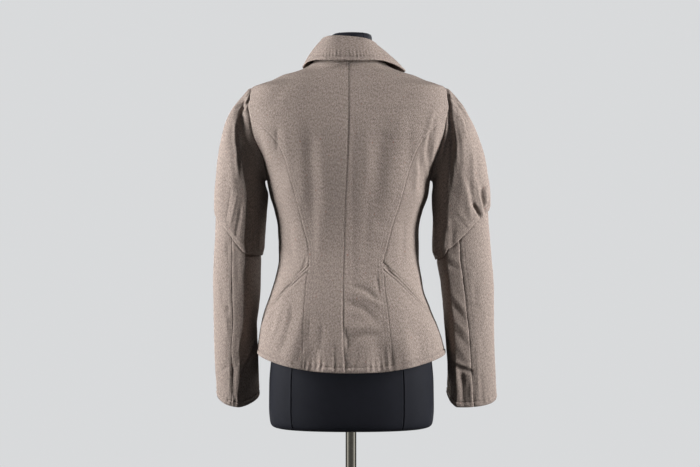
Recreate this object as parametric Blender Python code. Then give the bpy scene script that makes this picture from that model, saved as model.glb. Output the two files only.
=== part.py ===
"""Fitted wool jacket with a turned-down collar and gathered two-part sleeves, on a limbless dress form.

The centre back faces -Y, +X is the wearer's right and +Z is up. The origin is on the floor under the pole.
Lengths are in metres. A place on the jacket's body is a turn and a height: the turn is -90 degrees at the
centre back, 0 at the side and 90 at the centre front, and side is 1 for the wearer's right and -1 for the left.
"""

import math

import bmesh
import bpy
import numpy as np

WALL = 0.0022  # cloth of the body and the sleeves
COLLAR_THICKNESS = 0.0030
SEAM_HALF_GAP = 0.0002

NAPE_Z = 1.432
NECK_SIDE_Z = 1.437
SHOULDER_TIP_Z = 1.386
UNDERARM_Z = 1.195
WAIST_Z = 1.029  # where the diagonal hip seam leaves the long seam
HIP_SEAM_SIDE_Z = 0.905
HEM_SIDE_Z = 0.842
HEM_DIP_BACK = 0.030
HEM_DIP_FRONT = 0.020

ARMHOLE_TURN_BACK = 24.5
ARMHOLE_TURN_FRONT = 27.0
ARMHOLE_JOIN_BACK = 109.0  # where the long seams end, in degrees round the armhole from the underarm
ARMHOLE_JOIN_FRONT = 92.0

FRONT_OVERLAP = 0.018
OVERLAP_LIFT = WALL + 0.0020

BUTTON_RADIUS = 0.010
BUTTON_THICKNESS = 0.004
BUTTON_HEIGHTS = (0.930, 1.015, 1.100, 1.185, 1.270, 1.345)

BASE_RADIUS = 0.180
BASE_THICKNESS = 0.010
POLE_RADIUS = 0.011
FORM_BOTTOM = 0.690

COLOURS = {
    "cloth": (0.150, 0.125, 0.118, 1),
    "button": (0.050, 0.040, 0.036, 1),
    "form": (0.012, 0.014, 0.022, 1),
    "chrome": (0.600, 0.600, 0.620, 1),
    "stand": (0.030, 0.030, 0.033, 1),
}

# Outer face of the jacket's body, ring by ring.
BODY_RINGS = (
    # z, centre, half_width, back, front, power
    (0.805, 0.0000, 0.1990, 0.141, 0.136, 2.30),
    (0.842, 0.0005, 0.1925, 0.136, 0.132, 2.30),
    (0.869, -0.0010, 0.1880, 0.133, 0.130, 2.30),
    (0.901, -0.0040, 0.1800, 0.128, 0.126, 2.30),
    (0.934, -0.0070, 0.1690, 0.121, 0.120, 2.30),
    (0.967, -0.0070, 0.1570, 0.112, 0.114, 2.30),
    (1.000, -0.0050, 0.1490, 0.102, 0.109, 2.30),
    (1.033, -0.0045, 0.1435, 0.094, 0.105, 2.30),
    (1.065, -0.0045, 0.1435, 0.090, 0.104, 2.30),
    (1.098, -0.0055, 0.1445, 0.091, 0.107, 2.30),
    (1.131, -0.0050, 0.1510, 0.096, 0.114, 2.30),
    (1.164, -0.0040, 0.1620, 0.103, 0.123, 2.30),
    (1.195, -0.0050, 0.1670, 0.110, 0.130, 2.30),
    (1.223, -0.0050, 0.1755, 0.115, 0.131, 2.30),
    (1.246, -0.0050, 0.1880, 0.117, 0.128, 2.30),
    (1.266, -0.0050, 0.2000, 0.118, 0.125, 2.30),
    (1.289, -0.0050, 0.2100, 0.118, 0.120, 2.30),
    (1.309, -0.0050, 0.2135, 0.116, 0.115, 2.30),
    (1.340, -0.0050, 0.2150, 0.108, 0.103, 2.30),
    (1.361, -0.0050, 0.2085, 0.100, 0.094, 2.25),
    (1.386, -0.0050, 0.1970, 0.090, 0.083, 2.20),
    (1.393, -0.0050, 0.1800, 0.086, 0.080, 2.15),
    (1.400, -0.0050, 0.1580, 0.082, 0.077, 2.10),
    (1.410, -0.0050, 0.1360, 0.077, 0.074, 2.10),
    (1.4175, -0.0050, 0.1090, 0.073, 0.072, 2.05),
    (1.426, -0.0050, 0.0880, 0.069, 0.070, 2.00),
    (1.437, -0.0050, 0.0740, 0.066, 0.068, 2.00),
)

# Seams of the back, by their distance from the pole's axis.
BACK_SEAMS = (
    # z, centre, left, right
    (0.805, -0.0100, -0.095, 0.085),
    (0.870, -0.0150, -0.095, 0.079),
    (0.930, -0.0160, -0.093, 0.073),
    (0.980, -0.0150, -0.090, 0.067),
    (1.029, -0.0140, -0.084, 0.064),
    (1.060, -0.0130, -0.0855, 0.072),
    (1.100, -0.0120, -0.096, 0.082),
    (1.145, -0.0110, -0.107, 0.097),
    (1.190, -0.0090, -0.119, 0.110),
    (1.250, -0.0060, -0.138, 0.130),
    (1.285, -0.0050, -0.161, 0.152),
    (1.305, -0.0045, -0.180, 0.170),
    (1.437, -0.0040, -0.200, 0.190),
)

FRONT_SEAMS = (
    # z, distance from the centre front
    (0.805, 0.080),
    (0.930, 0.073),
    (1.029, 0.068),
    (1.100, 0.073),
    (1.185, 0.087),
    (1.240, 0.112),
    (1.272, 0.150),
    (1.437, 0.190),
)

FRONT_NECK = (
    # x, z
    (0.0000, 1.3720),
    (0.0200, 1.3750),
    (0.0400, 1.3845),
    (0.0580, 1.4000),
    (0.0680, 1.4145),
    (0.0710, 1.4275),
)

# Soft folds of the body, straight from one end to the other.
BODY_FOLDS = (
    # face, x_low, z_low, x_high, z_high, half_width, height
    (-1, -0.072, 1.090, -0.082, 1.280, 0.016, -0.0030),
    (-1, 0.050, 1.150, 0.062, 1.285, 0.018, -0.0030),
    (-1, -0.176, 1.225, -0.188, 1.300, 0.010, -0.0030),
    (-1, 0.158, 1.195, 0.172, 1.300, 0.010, 0.0030),
    (-1, 0.146, 1.180, 0.156, 1.250, 0.010, -0.0030),
    (-1, -0.046, 0.812, -0.040, 0.870, 0.020, 0.0035),
    (-1, -0.078, 0.812, -0.074, 0.860, 0.014, -0.0025),
    (-1, 0.028, 0.812, 0.022, 0.880, 0.020, 0.0035),
    (-1, 0.058, 0.812, 0.052, 0.870, 0.014, -0.0030),
    (-1, 0.112, 0.820, 0.100, 0.900, 0.020, 0.0040),
    (-1, -0.126, 0.820, -0.110, 0.910, 0.018, 0.0040),
    (-1, 0.142, 0.830, 0.136, 0.900, 0.014, -0.0025),
    (1, -0.120, 0.820, -0.108, 0.920, 0.022, 0.0040),
    (1, 0.118, 0.820, 0.108, 0.910, 0.022, 0.0040),
    (1, -0.150, 1.190, -0.165, 1.290, 0.014, -0.0030),
    (1, 0.150, 1.195, 0.165, 1.290, 0.014, -0.0030),
)

# Collar from the centre back to the centre front: its fold, and where its edge lies over the body.
COLLAR_STATIONS = (
    # share, base_turn, fold_x, fold_y, fold_z, edge_turn, edge_z_left, edge_z_right, edge_lift
    (0.00, -90.0, 0.0000, -0.0660, 1.4830, -90.0, 1.4290, 1.4290, 0.0180),
    (0.15, -60.0, 0.0285, -0.0600, 1.4825, -60.0, 1.4290, 1.4270, 0.0170),
    (0.30, -30.0, 0.0475, -0.0360, 1.4805, -30.0, 1.4280, 1.4215, 0.0110),
    (0.45, 0.0, 0.0545, -0.0040, 1.4765, 0.0, 1.4250, 1.4165, 0.0052),
    (0.60, 30.0, 0.0545, 0.0280, 1.4610, 28.0, 1.4205, 1.4135, 0.0056),
    (0.76, 56.0, 0.0480, 0.0560, 1.4390, 50.0, 1.4030, 1.3975, 0.0066),
    (0.90, 76.0, 0.0280, 0.0790, 1.4120, 66.0, 1.3600, 1.3580, 0.0072),
    (1.00, 90.0, 0.0050, 0.0900, 1.3960, 74.5, 1.3310, 1.3310, 0.0085),
)
COLLAR_TILT = 0.0045
COLLAR_CENTRE = -0.0040
COLLAR_ROLL = 0.0030

ARMHOLE_MIDDLE_Z = 0.5 * (UNDERARM_Z + SHOULDER_TIP_Z)
ARMHOLE_HALF_HEIGHT = 0.5 * (SHOULDER_TIP_Z - UNDERARM_Z)
BICEPS_LOW_Z = 1.165
BICEPS_RISE = 0.045
ELBOW_SEAM_Z = 1.085
ELBOW_SEAM_RISE = 0.050
CUFF_Z = 0.733
CUFF_SLOPE = 0.35
SLEEVE_TUCK = 0.004  # how far the lower sleeve reaches up inside the upper one

# Sleeve sections, as distances out from the pole's axis.
UPPER_SLEEVE = {
    -1: (
        # z, inner, outer, back, front, ridge_x, hollow_y
        (1.025, 0.1800, 0.2850, -0.048, 0.068, 0.225, 0.028),
        (1.065, 0.1780, 0.2860, -0.050, 0.066, 0.224, 0.026),
        (1.115, 0.1745, 0.2825, -0.051, 0.062, 0.222, 0.024),
        (1.165, 0.1700, 0.2805, -0.054, 0.060, 0.224, 0.020),
        (1.220, 0.1720, 0.2765, -0.057, 0.058, 0.226, 0.015),
    ),
    1: (
        (1.025, 0.1690, 0.2920, -0.050, 0.068, 0.216, 0.020),
        (1.065, 0.1675, 0.2910, -0.052, 0.066, 0.216, 0.018),
        (1.115, 0.1680, 0.2870, -0.053, 0.062, 0.214, 0.016),
        (1.165, 0.1660, 0.2865, -0.056, 0.060, 0.213, 0.014),
        (1.220, 0.1690, 0.2790, -0.058, 0.058, 0.214, 0.010),
    ),
}
LOWER_SLEEVE = {
    -1: (
        # z, inner, outer, back, front, ridge_x, hollow_y
        (0.720, 0.1900, 0.2760, -0.020, 0.079, 0.230, 0.038),
        (0.750, 0.1900, 0.2765, -0.022, 0.078, 0.230, 0.037),
        (0.800, 0.1910, 0.2800, -0.026, 0.076, 0.231, 0.035),
        (0.852, 0.1925, 0.2825, -0.030, 0.074, 0.232, 0.033),
        (0.901, 0.1940, 0.2825, -0.033, 0.072, 0.232, 0.031),
        (0.934, 0.1900, 0.2840, -0.036, 0.070, 0.231, 0.030),
        (0.983, 0.1860, 0.2840, -0.040, 0.067, 0.228, 0.028),
        (1.035, 0.1855, 0.2820, -0.043, 0.063, 0.226, 0.026),
        (1.150, 0.1860, 0.2765, -0.045, 0.057, 0.226, 0.022),
    ),
    1: (
        (0.720, 0.1985, 0.3005, -0.022, 0.079, 0.236, 0.038),
        (0.750, 0.1985, 0.3005, -0.024, 0.078, 0.236, 0.037),
        (0.800, 0.2000, 0.2990, -0.028, 0.076, 0.236, 0.035),
        (0.852, 0.1965, 0.2960, -0.032, 0.074, 0.234, 0.032),
        (0.901, 0.1925, 0.2950, -0.035, 0.072, 0.232, 0.029),
        (0.934, 0.1900, 0.2950, -0.038, 0.070, 0.229, 0.027),
        (0.983, 0.1850, 0.2940, -0.042, 0.067, 0.224, 0.024),
        (1.035, 0.1770, 0.2895, -0.045, 0.063, 0.219, 0.020),
        (1.150, 0.1790, 0.2800, -0.047, 0.057, 0.216, 0.014),
    ),
}
SLEEVE_POWERS = {
    # inner to back, back to outer, outer to front, front to inner
    -1: (1.35, 2.0, 2.2, 2.0),
    1: (1.65, 2.1, 2.2, 2.0),
}

# Gathers of the sleeve heads: ridges that leave the armhole and fade.
GATHERS = {
    -1: (
        # round, half_width, height, reach
        (124.0, 5.0, 0.0018, 0.35),
        (138.0, 5.0, 0.0024, 0.45),
        (151.0, 5.0, 0.0030, 0.50),
        (163.0, 4.5, 0.0026, 0.45),
        (174.0, 4.5, 0.0030, 0.40),
        (187.0, 4.5, 0.0026, 0.45),
        (200.0, 5.0, 0.0030, 0.50),
        (214.0, 5.0, 0.0024, 0.45),
        (229.0, 5.0, 0.0018, 0.35),
    ),
    1: (
        (121.0, 5.0, 0.0018, 0.40),
        (134.0, 5.5, 0.0028, 0.55),
        (148.0, 5.5, 0.0032, 0.60),
        (161.0, 5.0, 0.0030, 0.50),
        (173.0, 4.5, 0.0026, 0.40),
        (186.0, 4.5, 0.0026, 0.45),
        (199.0, 5.0, 0.0030, 0.50),
        (213.0, 5.0, 0.0024, 0.45),
        (228.0, 5.0, 0.0018, 0.35),
    ),
}
HEAD_VALLEY = {-1: 0.0100, 1: 0.0045}  # the hollow between the armhole seam and the puff of the head
HEAD_PUFF = {-1: 0.0060, 1: 0.0050}
HEAD_STEPS = (0.0, 0.06, 0.13, 0.22, 0.34, 0.49, 0.66, 0.83, 1.0)

FORM_RINGS = (
    # z, centre, half_width, back, front, power
    (0.6900, 0.0010, 0.1520, 0.089, 0.084, 2.20),
    (0.6925, 0.0010, 0.1605, 0.097, 0.092, 2.20),
    (0.6985, 0.0010, 0.1655, 0.102, 0.096, 2.20),
    (0.7080, 0.0010, 0.1675, 0.104, 0.098, 2.20),
    (0.7300, 0.0010, 0.1690, 0.106, 0.098, 2.20),
    (0.7800, 0.0010, 0.1685, 0.109, 0.099, 2.20),
    (0.8200, 0.0010, 0.1655, 0.110, 0.100, 2.20),
    (0.8600, 0.0005, 0.1590, 0.110, 0.100, 2.20),
    (0.9000, 0.0000, 0.1510, 0.106, 0.099, 2.20),
    (0.9500, -0.0020, 0.1400, 0.096, 0.095, 2.20),
    (1.0000, -0.0030, 0.1300, 0.085, 0.091, 2.20),
    (1.0500, -0.0040, 0.1240, 0.077, 0.089, 2.20),
    (1.1000, -0.0040, 0.1265, 0.078, 0.094, 2.20),
    (1.1500, -0.0040, 0.1360, 0.086, 0.107, 2.20),
    (1.2000, -0.0040, 0.1470, 0.095, 0.117, 2.20),
    (1.2500, -0.0040, 0.1560, 0.103, 0.113, 2.20),
    (1.3000, -0.0045, 0.1660, 0.107, 0.105, 2.20),
    (1.3400, -0.0050, 0.1760, 0.099, 0.092, 2.20),
    (1.3620, -0.0050, 0.1815, 0.091, 0.083, 2.20),
    (1.3780, -0.0050, 0.1835, 0.0840, 0.0760, 2.10),
    (1.3840, -0.0050, 0.1815, 0.0810, 0.0735, 2.05),
    (1.3900, -0.0050, 0.1720, 0.0775, 0.0710, 2.00),
    (1.3970, -0.0050, 0.1500, 0.0690, 0.0650, 2.00),
    (1.4060, -0.0050, 0.1260, 0.0640, 0.0610, 1.95),
    (1.4145, -0.0050, 0.0990, 0.0600, 0.0580, 1.95),
    (1.4230, -0.0045, 0.0770, 0.0570, 0.0560, 1.95),
    (1.4330, -0.0035, 0.0640, 0.0560, 0.0550, 2.00),
    (1.4450, -0.0010, 0.0510, 0.0510, 0.0510, 2.00),
    (1.4600, 0.0010, 0.0442, 0.0470, 0.0470, 2.00),
    (1.4760, 0.0015, 0.0422, 0.0440, 0.0440, 2.00),
    (1.4890, 0.0015, 0.0415, 0.0430, 0.0430, 2.00),
    (1.4937, 0.0015, 0.0395, 0.0410, 0.0410, 2.00),
    (1.4955, 0.0015, 0.0360, 0.0375, 0.0375, 2.00),
)
FORM_AROUND = 32


def smooth(rows):
    """Monotone cubic curves through a table whose first column is the place."""
    table = np.array(rows, float)
    place, value = table[:, 0], table[:, 1:]
    slope = np.diff(value, axis=0) / np.diff(place)[:, None]
    total = slope[:-1] + slope[1:]
    product = slope[:-1] * slope[1:]
    between = np.where(product > 0, 2 * product / np.where(total == 0, 1, total), 0)
    slopes = np.vstack([slope[:1], between, slope[-1:]])

    def at(where):
        where = np.clip(np.asarray(where, float), place[0], place[-1])
        k = np.clip(np.searchsorted(place, where, side="right") - 1, 0, len(place) - 2)
        length = (place[k + 1] - place[k])[..., None]
        u = (where - place[k])[..., None] / length
        return (
            (2 * u**3 - 3 * u**2 + 1) * value[k]
            + (u**3 - 2 * u**2 + u) * length * slopes[k]
            + (3 * u**2 - 2 * u**3) * value[k + 1]
            + (u**3 - u**2) * length * slopes[k + 1]
        )

    return at


def columns(at, where):
    return np.moveaxis(at(where), -1, 0)


def unit(vectors):
    return vectors / np.maximum(np.linalg.norm(vectors, axis=-1, keepdims=True), 1e-12)


def power_of(value, exponent):
    return np.sign(value) * np.abs(value) ** exponent


def bump(value, middle, half_width):
    return np.exp(-(((value - middle) / half_width) ** 2))


body_ring = smooth(BODY_RINGS)
back_seam = smooth(BACK_SEAMS)
front_seam = smooth(FRONT_SEAMS)
collar_station = smooth(COLLAR_STATIONS)


def body(side, turn, z):
    """A point on the outer face of the jacket's body, without its folds."""
    turn, z = np.broadcast_arrays(np.asarray(turn, float), np.asarray(z, float))
    centre, half, back, front, power = columns(body_ring, z)
    cos, sin = np.cos(np.radians(turn)), np.sin(np.radians(turn))
    x = centre + side * half * power_of(cos, 2 / power)
    y = np.where(sin < 0, back, front) * power_of(sin, 2 / power)
    return np.stack([x, y, z], -1)


def body_normal(side, turn, z):
    across = body(side, turn + 0.4, z) - body(side, turn - 0.4, z)
    up = body(side, turn, z + 0.001) - body(side, turn, z - 0.001)
    return unit(side * np.cross(across, up))


def folds(point):
    """How far the soft folds lift the cloth at a point."""
    x, y, z = point[..., 0], point[..., 1], point[..., 2]
    total = np.zeros(x.shape)
    for face, x_low, z_low, x_high, z_high, half, height in BODY_FOLDS:
        share = np.clip((z - z_low) / (z_high - z_low), -0.5, 1.5)
        line = x_low + (x_high - x_low) * share
        ends = 1 / (1 + np.exp((z - z_high) / 0.012))
        if z_low > 0.85:
            ends = ends / (1 + np.exp((z_low - z) / 0.012))
        total += height * bump(x, line, half) * ends * (y * face > 0)
    return total * np.clip(np.abs(y) / 0.03, 0, 1)


def cloth(side, turn, z):
    point, normal = body(side, turn, z), body_normal(side, turn, z)
    return point + normal * folds(point)[..., None], normal


def turn_at(side, x, z, face):
    """The turn of a point of the body that is given by its x; face is -1 on the back and 1 on the front."""
    centre, half, _, _, power = columns(body_ring, z)
    cos = np.clip(side * (x - centre) / half, -1, 1)
    return face * np.degrees(np.arccos(power_of(cos, power / 2)))


def hem_z(turn):
    turn = np.asarray(turn, float)
    dip = np.where(turn < 0, HEM_DIP_BACK, HEM_DIP_FRONT)
    return HEM_SIDE_Z - dip * np.sin(np.radians(turn)) ** 2


def armhole(round_it, face):
    """Turn and height of a point of the armhole; round_it is 0 at the underarm and 180 at the shoulder tip."""
    angle = np.radians(np.asarray(round_it, float))
    z = ARMHOLE_MIDDLE_Z - ARMHOLE_HALF_HEIGHT * np.cos(angle)
    if face < 0:
        power = np.where(angle < math.pi / 2, 1.5, 1.0)
        turn = -ARMHOLE_TURN_BACK * np.abs(np.sin(angle)) ** power
    else:
        turn = ARMHOLE_TURN_FRONT * np.abs(np.sin(angle))
    return np.stack([turn, z], -1)


def spaced(side, curve, parts):
    """Parts + 1 places of a curve, evenly apart along the cloth."""
    point = body(side, curve[:, 0], curve[:, 1])
    run = np.concatenate([[0], np.cumsum(np.linalg.norm(np.diff(point, axis=0), axis=1))])
    want = np.linspace(0, run[-1], parts + 1)
    return np.stack([np.interp(want, run, curve[:, k]) for k in (0, 1)], -1)


def seam_curve(side, face, x_of, low, high):
    z = np.linspace(low, high, 60)
    return np.stack([turn_at(side, x_of(z), z, face), z], -1)


def hem_height(side, face, x_of):
    z = 0.82
    for _ in range(8):
        z = float(hem_z(turn_at(side, x_of(z), z, face)))
    return z


def hem_curve(start, end, parts):
    turn = np.linspace(start[0], end[0], parts + 1)
    return np.stack([turn, hem_z(turn)], -1)


def straight(start, end, parts):
    share = np.linspace(0, 1, parts + 1)[:, None]
    return (1 - share) * np.array(start) + share * np.array(end)


LONG_ROWS = 6
PRINCESS_ROWS = 9
ARM_ROWS = 4
SIDE_COLUMNS = 5
NECK_COLUMNS = 4
SHOULDER_COLUMNS = 5


def seams_of(side):
    """Every seam of one side of the body, as rows of turn and height."""
    column = 1 if side < 0 else 2

    def centre(z):
        return back_seam(z)[..., 0]

    def long_back(z):
        return back_seam(z)[..., column]

    def long_front(z):
        return side * front_seam(z)[..., 0]

    def opening(z):
        return np.full(np.shape(z), -side * FRONT_OVERLAP)

    seam = {}
    edge_z = {
        name: hem_height(side, face, x_of)
        for name, face, x_of in (
            ("centre", -1, centre),
            ("long_back", -1, long_back),
            ("long_front", 1, long_front),
            ("opening", 1, opening),
        )
    }
    seam["centre"] = spaced(
        side,
        seam_curve(side, -1, centre, edge_z["centre"], NAPE_Z),
        LONG_ROWS + PRINCESS_ROWS + ARM_ROWS,
    )
    for name, face, x_of, join, end_z in (
        ("back", -1, long_back, ARMHOLE_JOIN_BACK, 1.305),
        ("front", 1, long_front, ARMHOLE_JOIN_FRONT, 1.272),
    ):
        below = seam_curve(side, face, x_of, edge_z["long_" + name], WAIST_Z)
        above = seam_curve(side, face, x_of, WAIST_Z, end_z)
        above = np.vstack([above, armhole(join, face)])
        seam["long_" + name] = spaced(side, below, LONG_ROWS)
        seam["princess_" + name] = spaced(side, above, PRINCESS_ROWS)
        seam["arm_low_" + name] = spaced(side, armhole(np.linspace(join, 0, 60), face), SIDE_COLUMNS)
        seam["arm_high_" + name] = spaced(side, armhole(np.linspace(join, 180, 60), face), ARM_ROWS)
        pivot = seam["princess_" + name][0]
        seam["hip_" + name] = spaced(side, straight(pivot, (0, HIP_SEAM_SIDE_Z), 40), SIDE_COLUMNS)
        seam["hem_hip_" + name] = hem_curve(seam["long_" + name][0], (0, HEM_SIDE_Z), SIDE_COLUMNS)
    seam["side_high"] = spaced(side, straight((0, HIP_SEAM_SIDE_Z), (0, UNDERARM_Z), 60), PRINCESS_ROWS)
    seam["side_low"] = spaced(side, straight((0, HEM_SIDE_Z), (0, HIP_SEAM_SIDE_Z), 20), LONG_ROWS)
    across = NECK_COLUMNS + SHOULDER_COLUMNS
    seam["hem_back"] = hem_curve(seam["centre"][0], seam["long_back"][0], across)
    tip = straight((0, NECK_SIDE_Z), (0, SHOULDER_TIP_Z), 80)
    seam["shoulder"] = spaced(side, tip, SHOULDER_COLUMNS)
    turn = np.linspace(seam["centre"][-1][0], 0, 40)
    height = NAPE_Z + (NECK_SIDE_Z - NAPE_Z) * np.cos(np.radians(turn)) ** 2
    height[0] = NAPE_Z
    seam["neck_back"] = spaced(side, np.stack([turn, height], -1), NECK_COLUMNS)
    x, z = np.array(FRONT_NECK).T
    z = np.interp(np.linspace(0, 1, 40), np.linspace(0, 1, len(z)), z)
    x = np.interp(np.linspace(0, 1, 40), np.linspace(0, 1, len(x)), x)
    front = np.stack([turn_at(side, -0.005 + side * x, z, 1), z], -1)
    front = np.vstack([[0, NECK_SIDE_Z], front[::-1]])
    end = [float(turn_at(side, opening(0.0), 1.372, 1)), 1.372]
    seam["neck_front"] = spaced(side, np.vstack([front, end]), NECK_COLUMNS + 1)
    seam["opening"] = spaced(
        side,
        np.vstack([seam_curve(side, 1, opening, edge_z["opening"], 1.371), end]),
        LONG_ROWS + PRINCESS_ROWS + ARM_ROWS,
    )
    half = 0.5 * (seam["long_front"][0][1] + seam["opening"][0][1])
    x = 0.5 * (long_front(half) + opening(half))
    parting = [float(turn_at(side, x, half, 1)), half]
    seam["hem_front"] = np.vstack(
        [
            hem_curve(seam["long_front"][0], parting, SHOULDER_COLUMNS),
            hem_curve(parting, seam["opening"][0], NECK_COLUMNS + 1)[1:],
        ]
    )
    return seam


def patch(side, left, right, bottom, top, face=0):
    """A grid of places between four seams that meet at their ends, spread by x on a wide face."""

    def share(curve):
        point = body(side, curve[:, 0], curve[:, 1])
        run = np.concatenate([[0], np.cumsum(np.linalg.norm(np.diff(point, axis=0), axis=1))])
        return run / run[-1]

    def spread(curve):
        if not face:
            return curve
        return np.stack([body(side, curve[:, 0], curve[:, 1])[:, 0], curve[:, 1]], -1)

    v = 0.5 * (share(left) + share(right))[:, None, None]
    u = 0.5 * (share(bottom) + share(top))[None, :, None]
    edges = left, right, bottom, top
    left, right, bottom, top = (spread(curve) for curve in edges)
    ease = 3 if face else 1
    across = (1 - u) * left[:, None] + u * right[:, None]
    low_bend = bottom[None] - ((1 - u) * bottom[0] + u * bottom[-1])
    high_bend = top[None] - ((1 - u) * top[0] + u * top[-1])
    grid = across + (1 - v) ** ease * low_bend + v**ease * high_bend
    if face:
        grid[..., 0] = turn_at(side, grid[..., 0], grid[..., 1], face)
        grid[:, 0], grid[:, -1], grid[0], grid[-1] = edges
    return grid


def material(kind):
    name = "jacket_" + kind
    known = bpy.data.materials.get(name)
    if known:
        return known
    made = bpy.data.materials.new(name)
    made.use_nodes = True
    shader = made.node_tree.nodes["Principled BSDF"]
    shader.inputs["Base Color"].default_value = COLOURS[kind]
    shader.inputs["Roughness"].default_value = 0.25 if kind == "chrome" else 0.85
    shader.inputs["Metallic"].default_value = 1.0 if kind == "chrome" else 0.0
    made.diffuse_color = COLOURS[kind]
    return made


def solid(name, points, faces, kind):
    mesh = bpy.data.meshes.new(name)
    mesh.from_pydata([tuple(p) for p in points], [], faces)
    work = bmesh.new()
    work.from_mesh(mesh)
    if work.calc_volume(signed=True) < 0:
        bmesh.ops.reverse_faces(work, faces=work.faces[:])
    work.to_mesh(mesh)
    work.free()
    for face in mesh.polygons:
        face.use_smooth = True
    mesh.materials.append(material(kind))
    thing = bpy.data.objects.new(name, mesh)
    bpy.context.scene.collection.objects.link(thing)
    return thing


def pulled_in(grid, closed_round=False):
    """The grid with its edges drawn in by half of a seam's gap, square to each edge."""

    def step(edge, inside):
        way = unit(inside - edge)
        along = unit(np.gradient(edge, axis=0))
        square = np.linalg.norm(way - along * (way * along).sum(-1, keepdims=True), axis=-1)
        return way * (SEAM_HALF_GAP / np.clip(square, 0.4, 1))[:, None]

    out = grid.copy()
    out[0] += step(grid[0], grid[1])
    out[-1] += step(grid[-1], grid[-2])
    if not closed_round:
        out[:, 0] += step(grid[:, 0], grid[:, 1])
        out[:, -1] += step(grid[:, -1], grid[:, -2])
    return out


def slab(name, outer, inner, kind="cloth", closed_round=False):
    """A closed wall between two grids of points."""
    outer, inner = pulled_in(outer, closed_round), pulled_in(inner, closed_round)
    rows, cols = outer.shape[:2]
    count = rows * cols
    points = np.concatenate([outer.reshape(-1, 3), inner.reshape(-1, 3)])
    steps = cols if closed_round else cols - 1

    def at(layer, row, col):
        return layer * count + row * cols + col % cols

    faces = []
    for row in range(rows - 1):
        for col in range(steps):
            square = [(row, col), (row, col + 1), (row + 1, col + 1), (row + 1, col)]
            faces.append([at(0, r, c) for r, c in square])
            faces.append([at(1, r, c) for r, c in reversed(square)])
    for row, way in ((0, 1), (rows - 1, -1)):
        for col in range(steps):
            edge = [at(0, row, col), at(1, row, col), at(1, row, col + 1), at(0, row, col + 1)]
            faces.append(edge[::way])
    if not closed_round:
        for col, way in ((0, -1), (cols - 1, 1)):
            for row in range(rows - 1):
                edge = [at(0, row, col), at(1, row, col), at(1, row + 1, col), at(0, row + 1, col)]
                faces.append(edge[::way])
    return solid(name, points, faces, kind)


def grid_normals(grid, closed_round):
    """Normals of a grid of points, on the side that a cross of its columns and rows points to."""
    if closed_round:
        across = np.roll(grid, -1, axis=1) - np.roll(grid, 1, axis=1)
    else:
        across = np.gradient(grid, axis=1)
    up = np.gradient(grid, axis=0)
    return unit(np.cross(across, up))


def turned(name, profile, centre, axis, kind, around):
    """A solid turned about an axis from rows of radius and height, closed at both ends."""
    axis = unit(np.array(axis, float))
    helper = np.array([1.0, 0, 0]) if abs(axis[0]) < 0.7 else np.array([0, 0, 1.0])
    first = unit(np.cross(axis, helper))
    second = np.cross(axis, first)
    points, faces = [], []
    for radius, height in profile:
        for k in range(around):
            angle = 2 * math.pi * k / around
            ray = math.cos(angle) * first + math.sin(angle) * second
            points.append(np.array(centre) + radius * ray + height * axis)
    for row in range(len(profile) - 1):
        for k in range(around):
            n = (k + 1) % around
            a, b = row * around, (row + 1) * around
            faces.append([a + k, a + n, b + n, b + k])
    faces.append(list(range(around))[::-1])
    faces.append([(len(profile) - 1) * around + k for k in range(around)])
    return solid(name, points, faces, kind)


def body_panel(name, side, places, lift=None):
    outer, normal = cloth(side, places[..., 0], places[..., 1])
    if lift is not None:
        outer = outer + normal * lift(outer)[..., None]
    slab(name, outer, outer - normal * WALL)


def front_lift(point):
    """The right front lies over the left one, and eases down to its own level beside the overlap."""
    away = np.clip((point[..., 0] - 0.022) / 0.030, 0, 1)
    return OVERLAP_LIFT * (1 - away * away * (3 - 2 * away))


def middle_line(side, left, right, top):
    """A line of places up the middle of a front, from the hem to the side of the neck."""
    left_x = body(side, left[:, 0], left[:, 1])[:, 0]
    right_x = body(side, right[:, 0], right[:, 1])[:, 0]
    top_x = body(side, *top)[0]
    pull = np.linspace(0, 1, len(left)) ** 4
    x = (1 - pull) * 0.5 * (left_x + right_x) + pull * top_x
    z = (1 - pull) * 0.5 * (left[:, 1] + right[:, 1]) + pull * top[1]
    turn = turn_at(side, x, z, 1)
    turn[-1] = top[0]
    return np.stack([turn, z], -1)


def body_panels(side, seam, word):
    back_edge = np.vstack([seam["long_back"], seam["princess_back"][1:], seam["arm_high_back"][1:]])
    back_top = np.vstack([seam["neck_back"], seam["shoulder"][1:]])
    body_panel(
        "back_" + word, side, patch(side, seam["centre"], back_edge, seam["hem_back"], back_top, -1)
    )
    body_panel(
        "side_back_" + word,
        side,
        patch(side, seam["princess_back"], seam["side_high"], seam["hip_back"], seam["arm_low_back"]),
    )
    body_panel(
        "hip_back_" + word,
        side,
        patch(side, seam["long_back"], seam["side_low"], seam["hem_hip_back"], seam["hip_back"]),
    )
    front_edge = np.vstack(
        [seam["long_front"], seam["princess_front"][1:], seam["arm_high_front"][1:]]
    )
    middle = middle_line(side, front_edge, seam["opening"], seam["shoulder"][0])
    parted = SHOULDER_COLUMNS
    halves = (
        patch(side, front_edge, middle, seam["hem_front"][: parted + 1], seam["shoulder"][::-1], 1),
        patch(side, middle, seam["opening"], seam["hem_front"][parted:], seam["neck_front"], 1),
    )
    places = np.concatenate([halves[0], halves[1][:, 1:]], axis=1)
    body_panel("front_" + word, side, places, front_lift if side > 0 else None)
    body_panel(
        "side_front_" + word,
        side,
        patch(
            side, seam["princess_front"], seam["side_high"], seam["hip_front"], seam["arm_low_front"]
        ),
    )
    body_panel(
        "hip_front_" + word,
        side,
        patch(side, seam["long_front"], seam["side_low"], seam["hem_hip_front"], seam["hip_front"]),
    )


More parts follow.
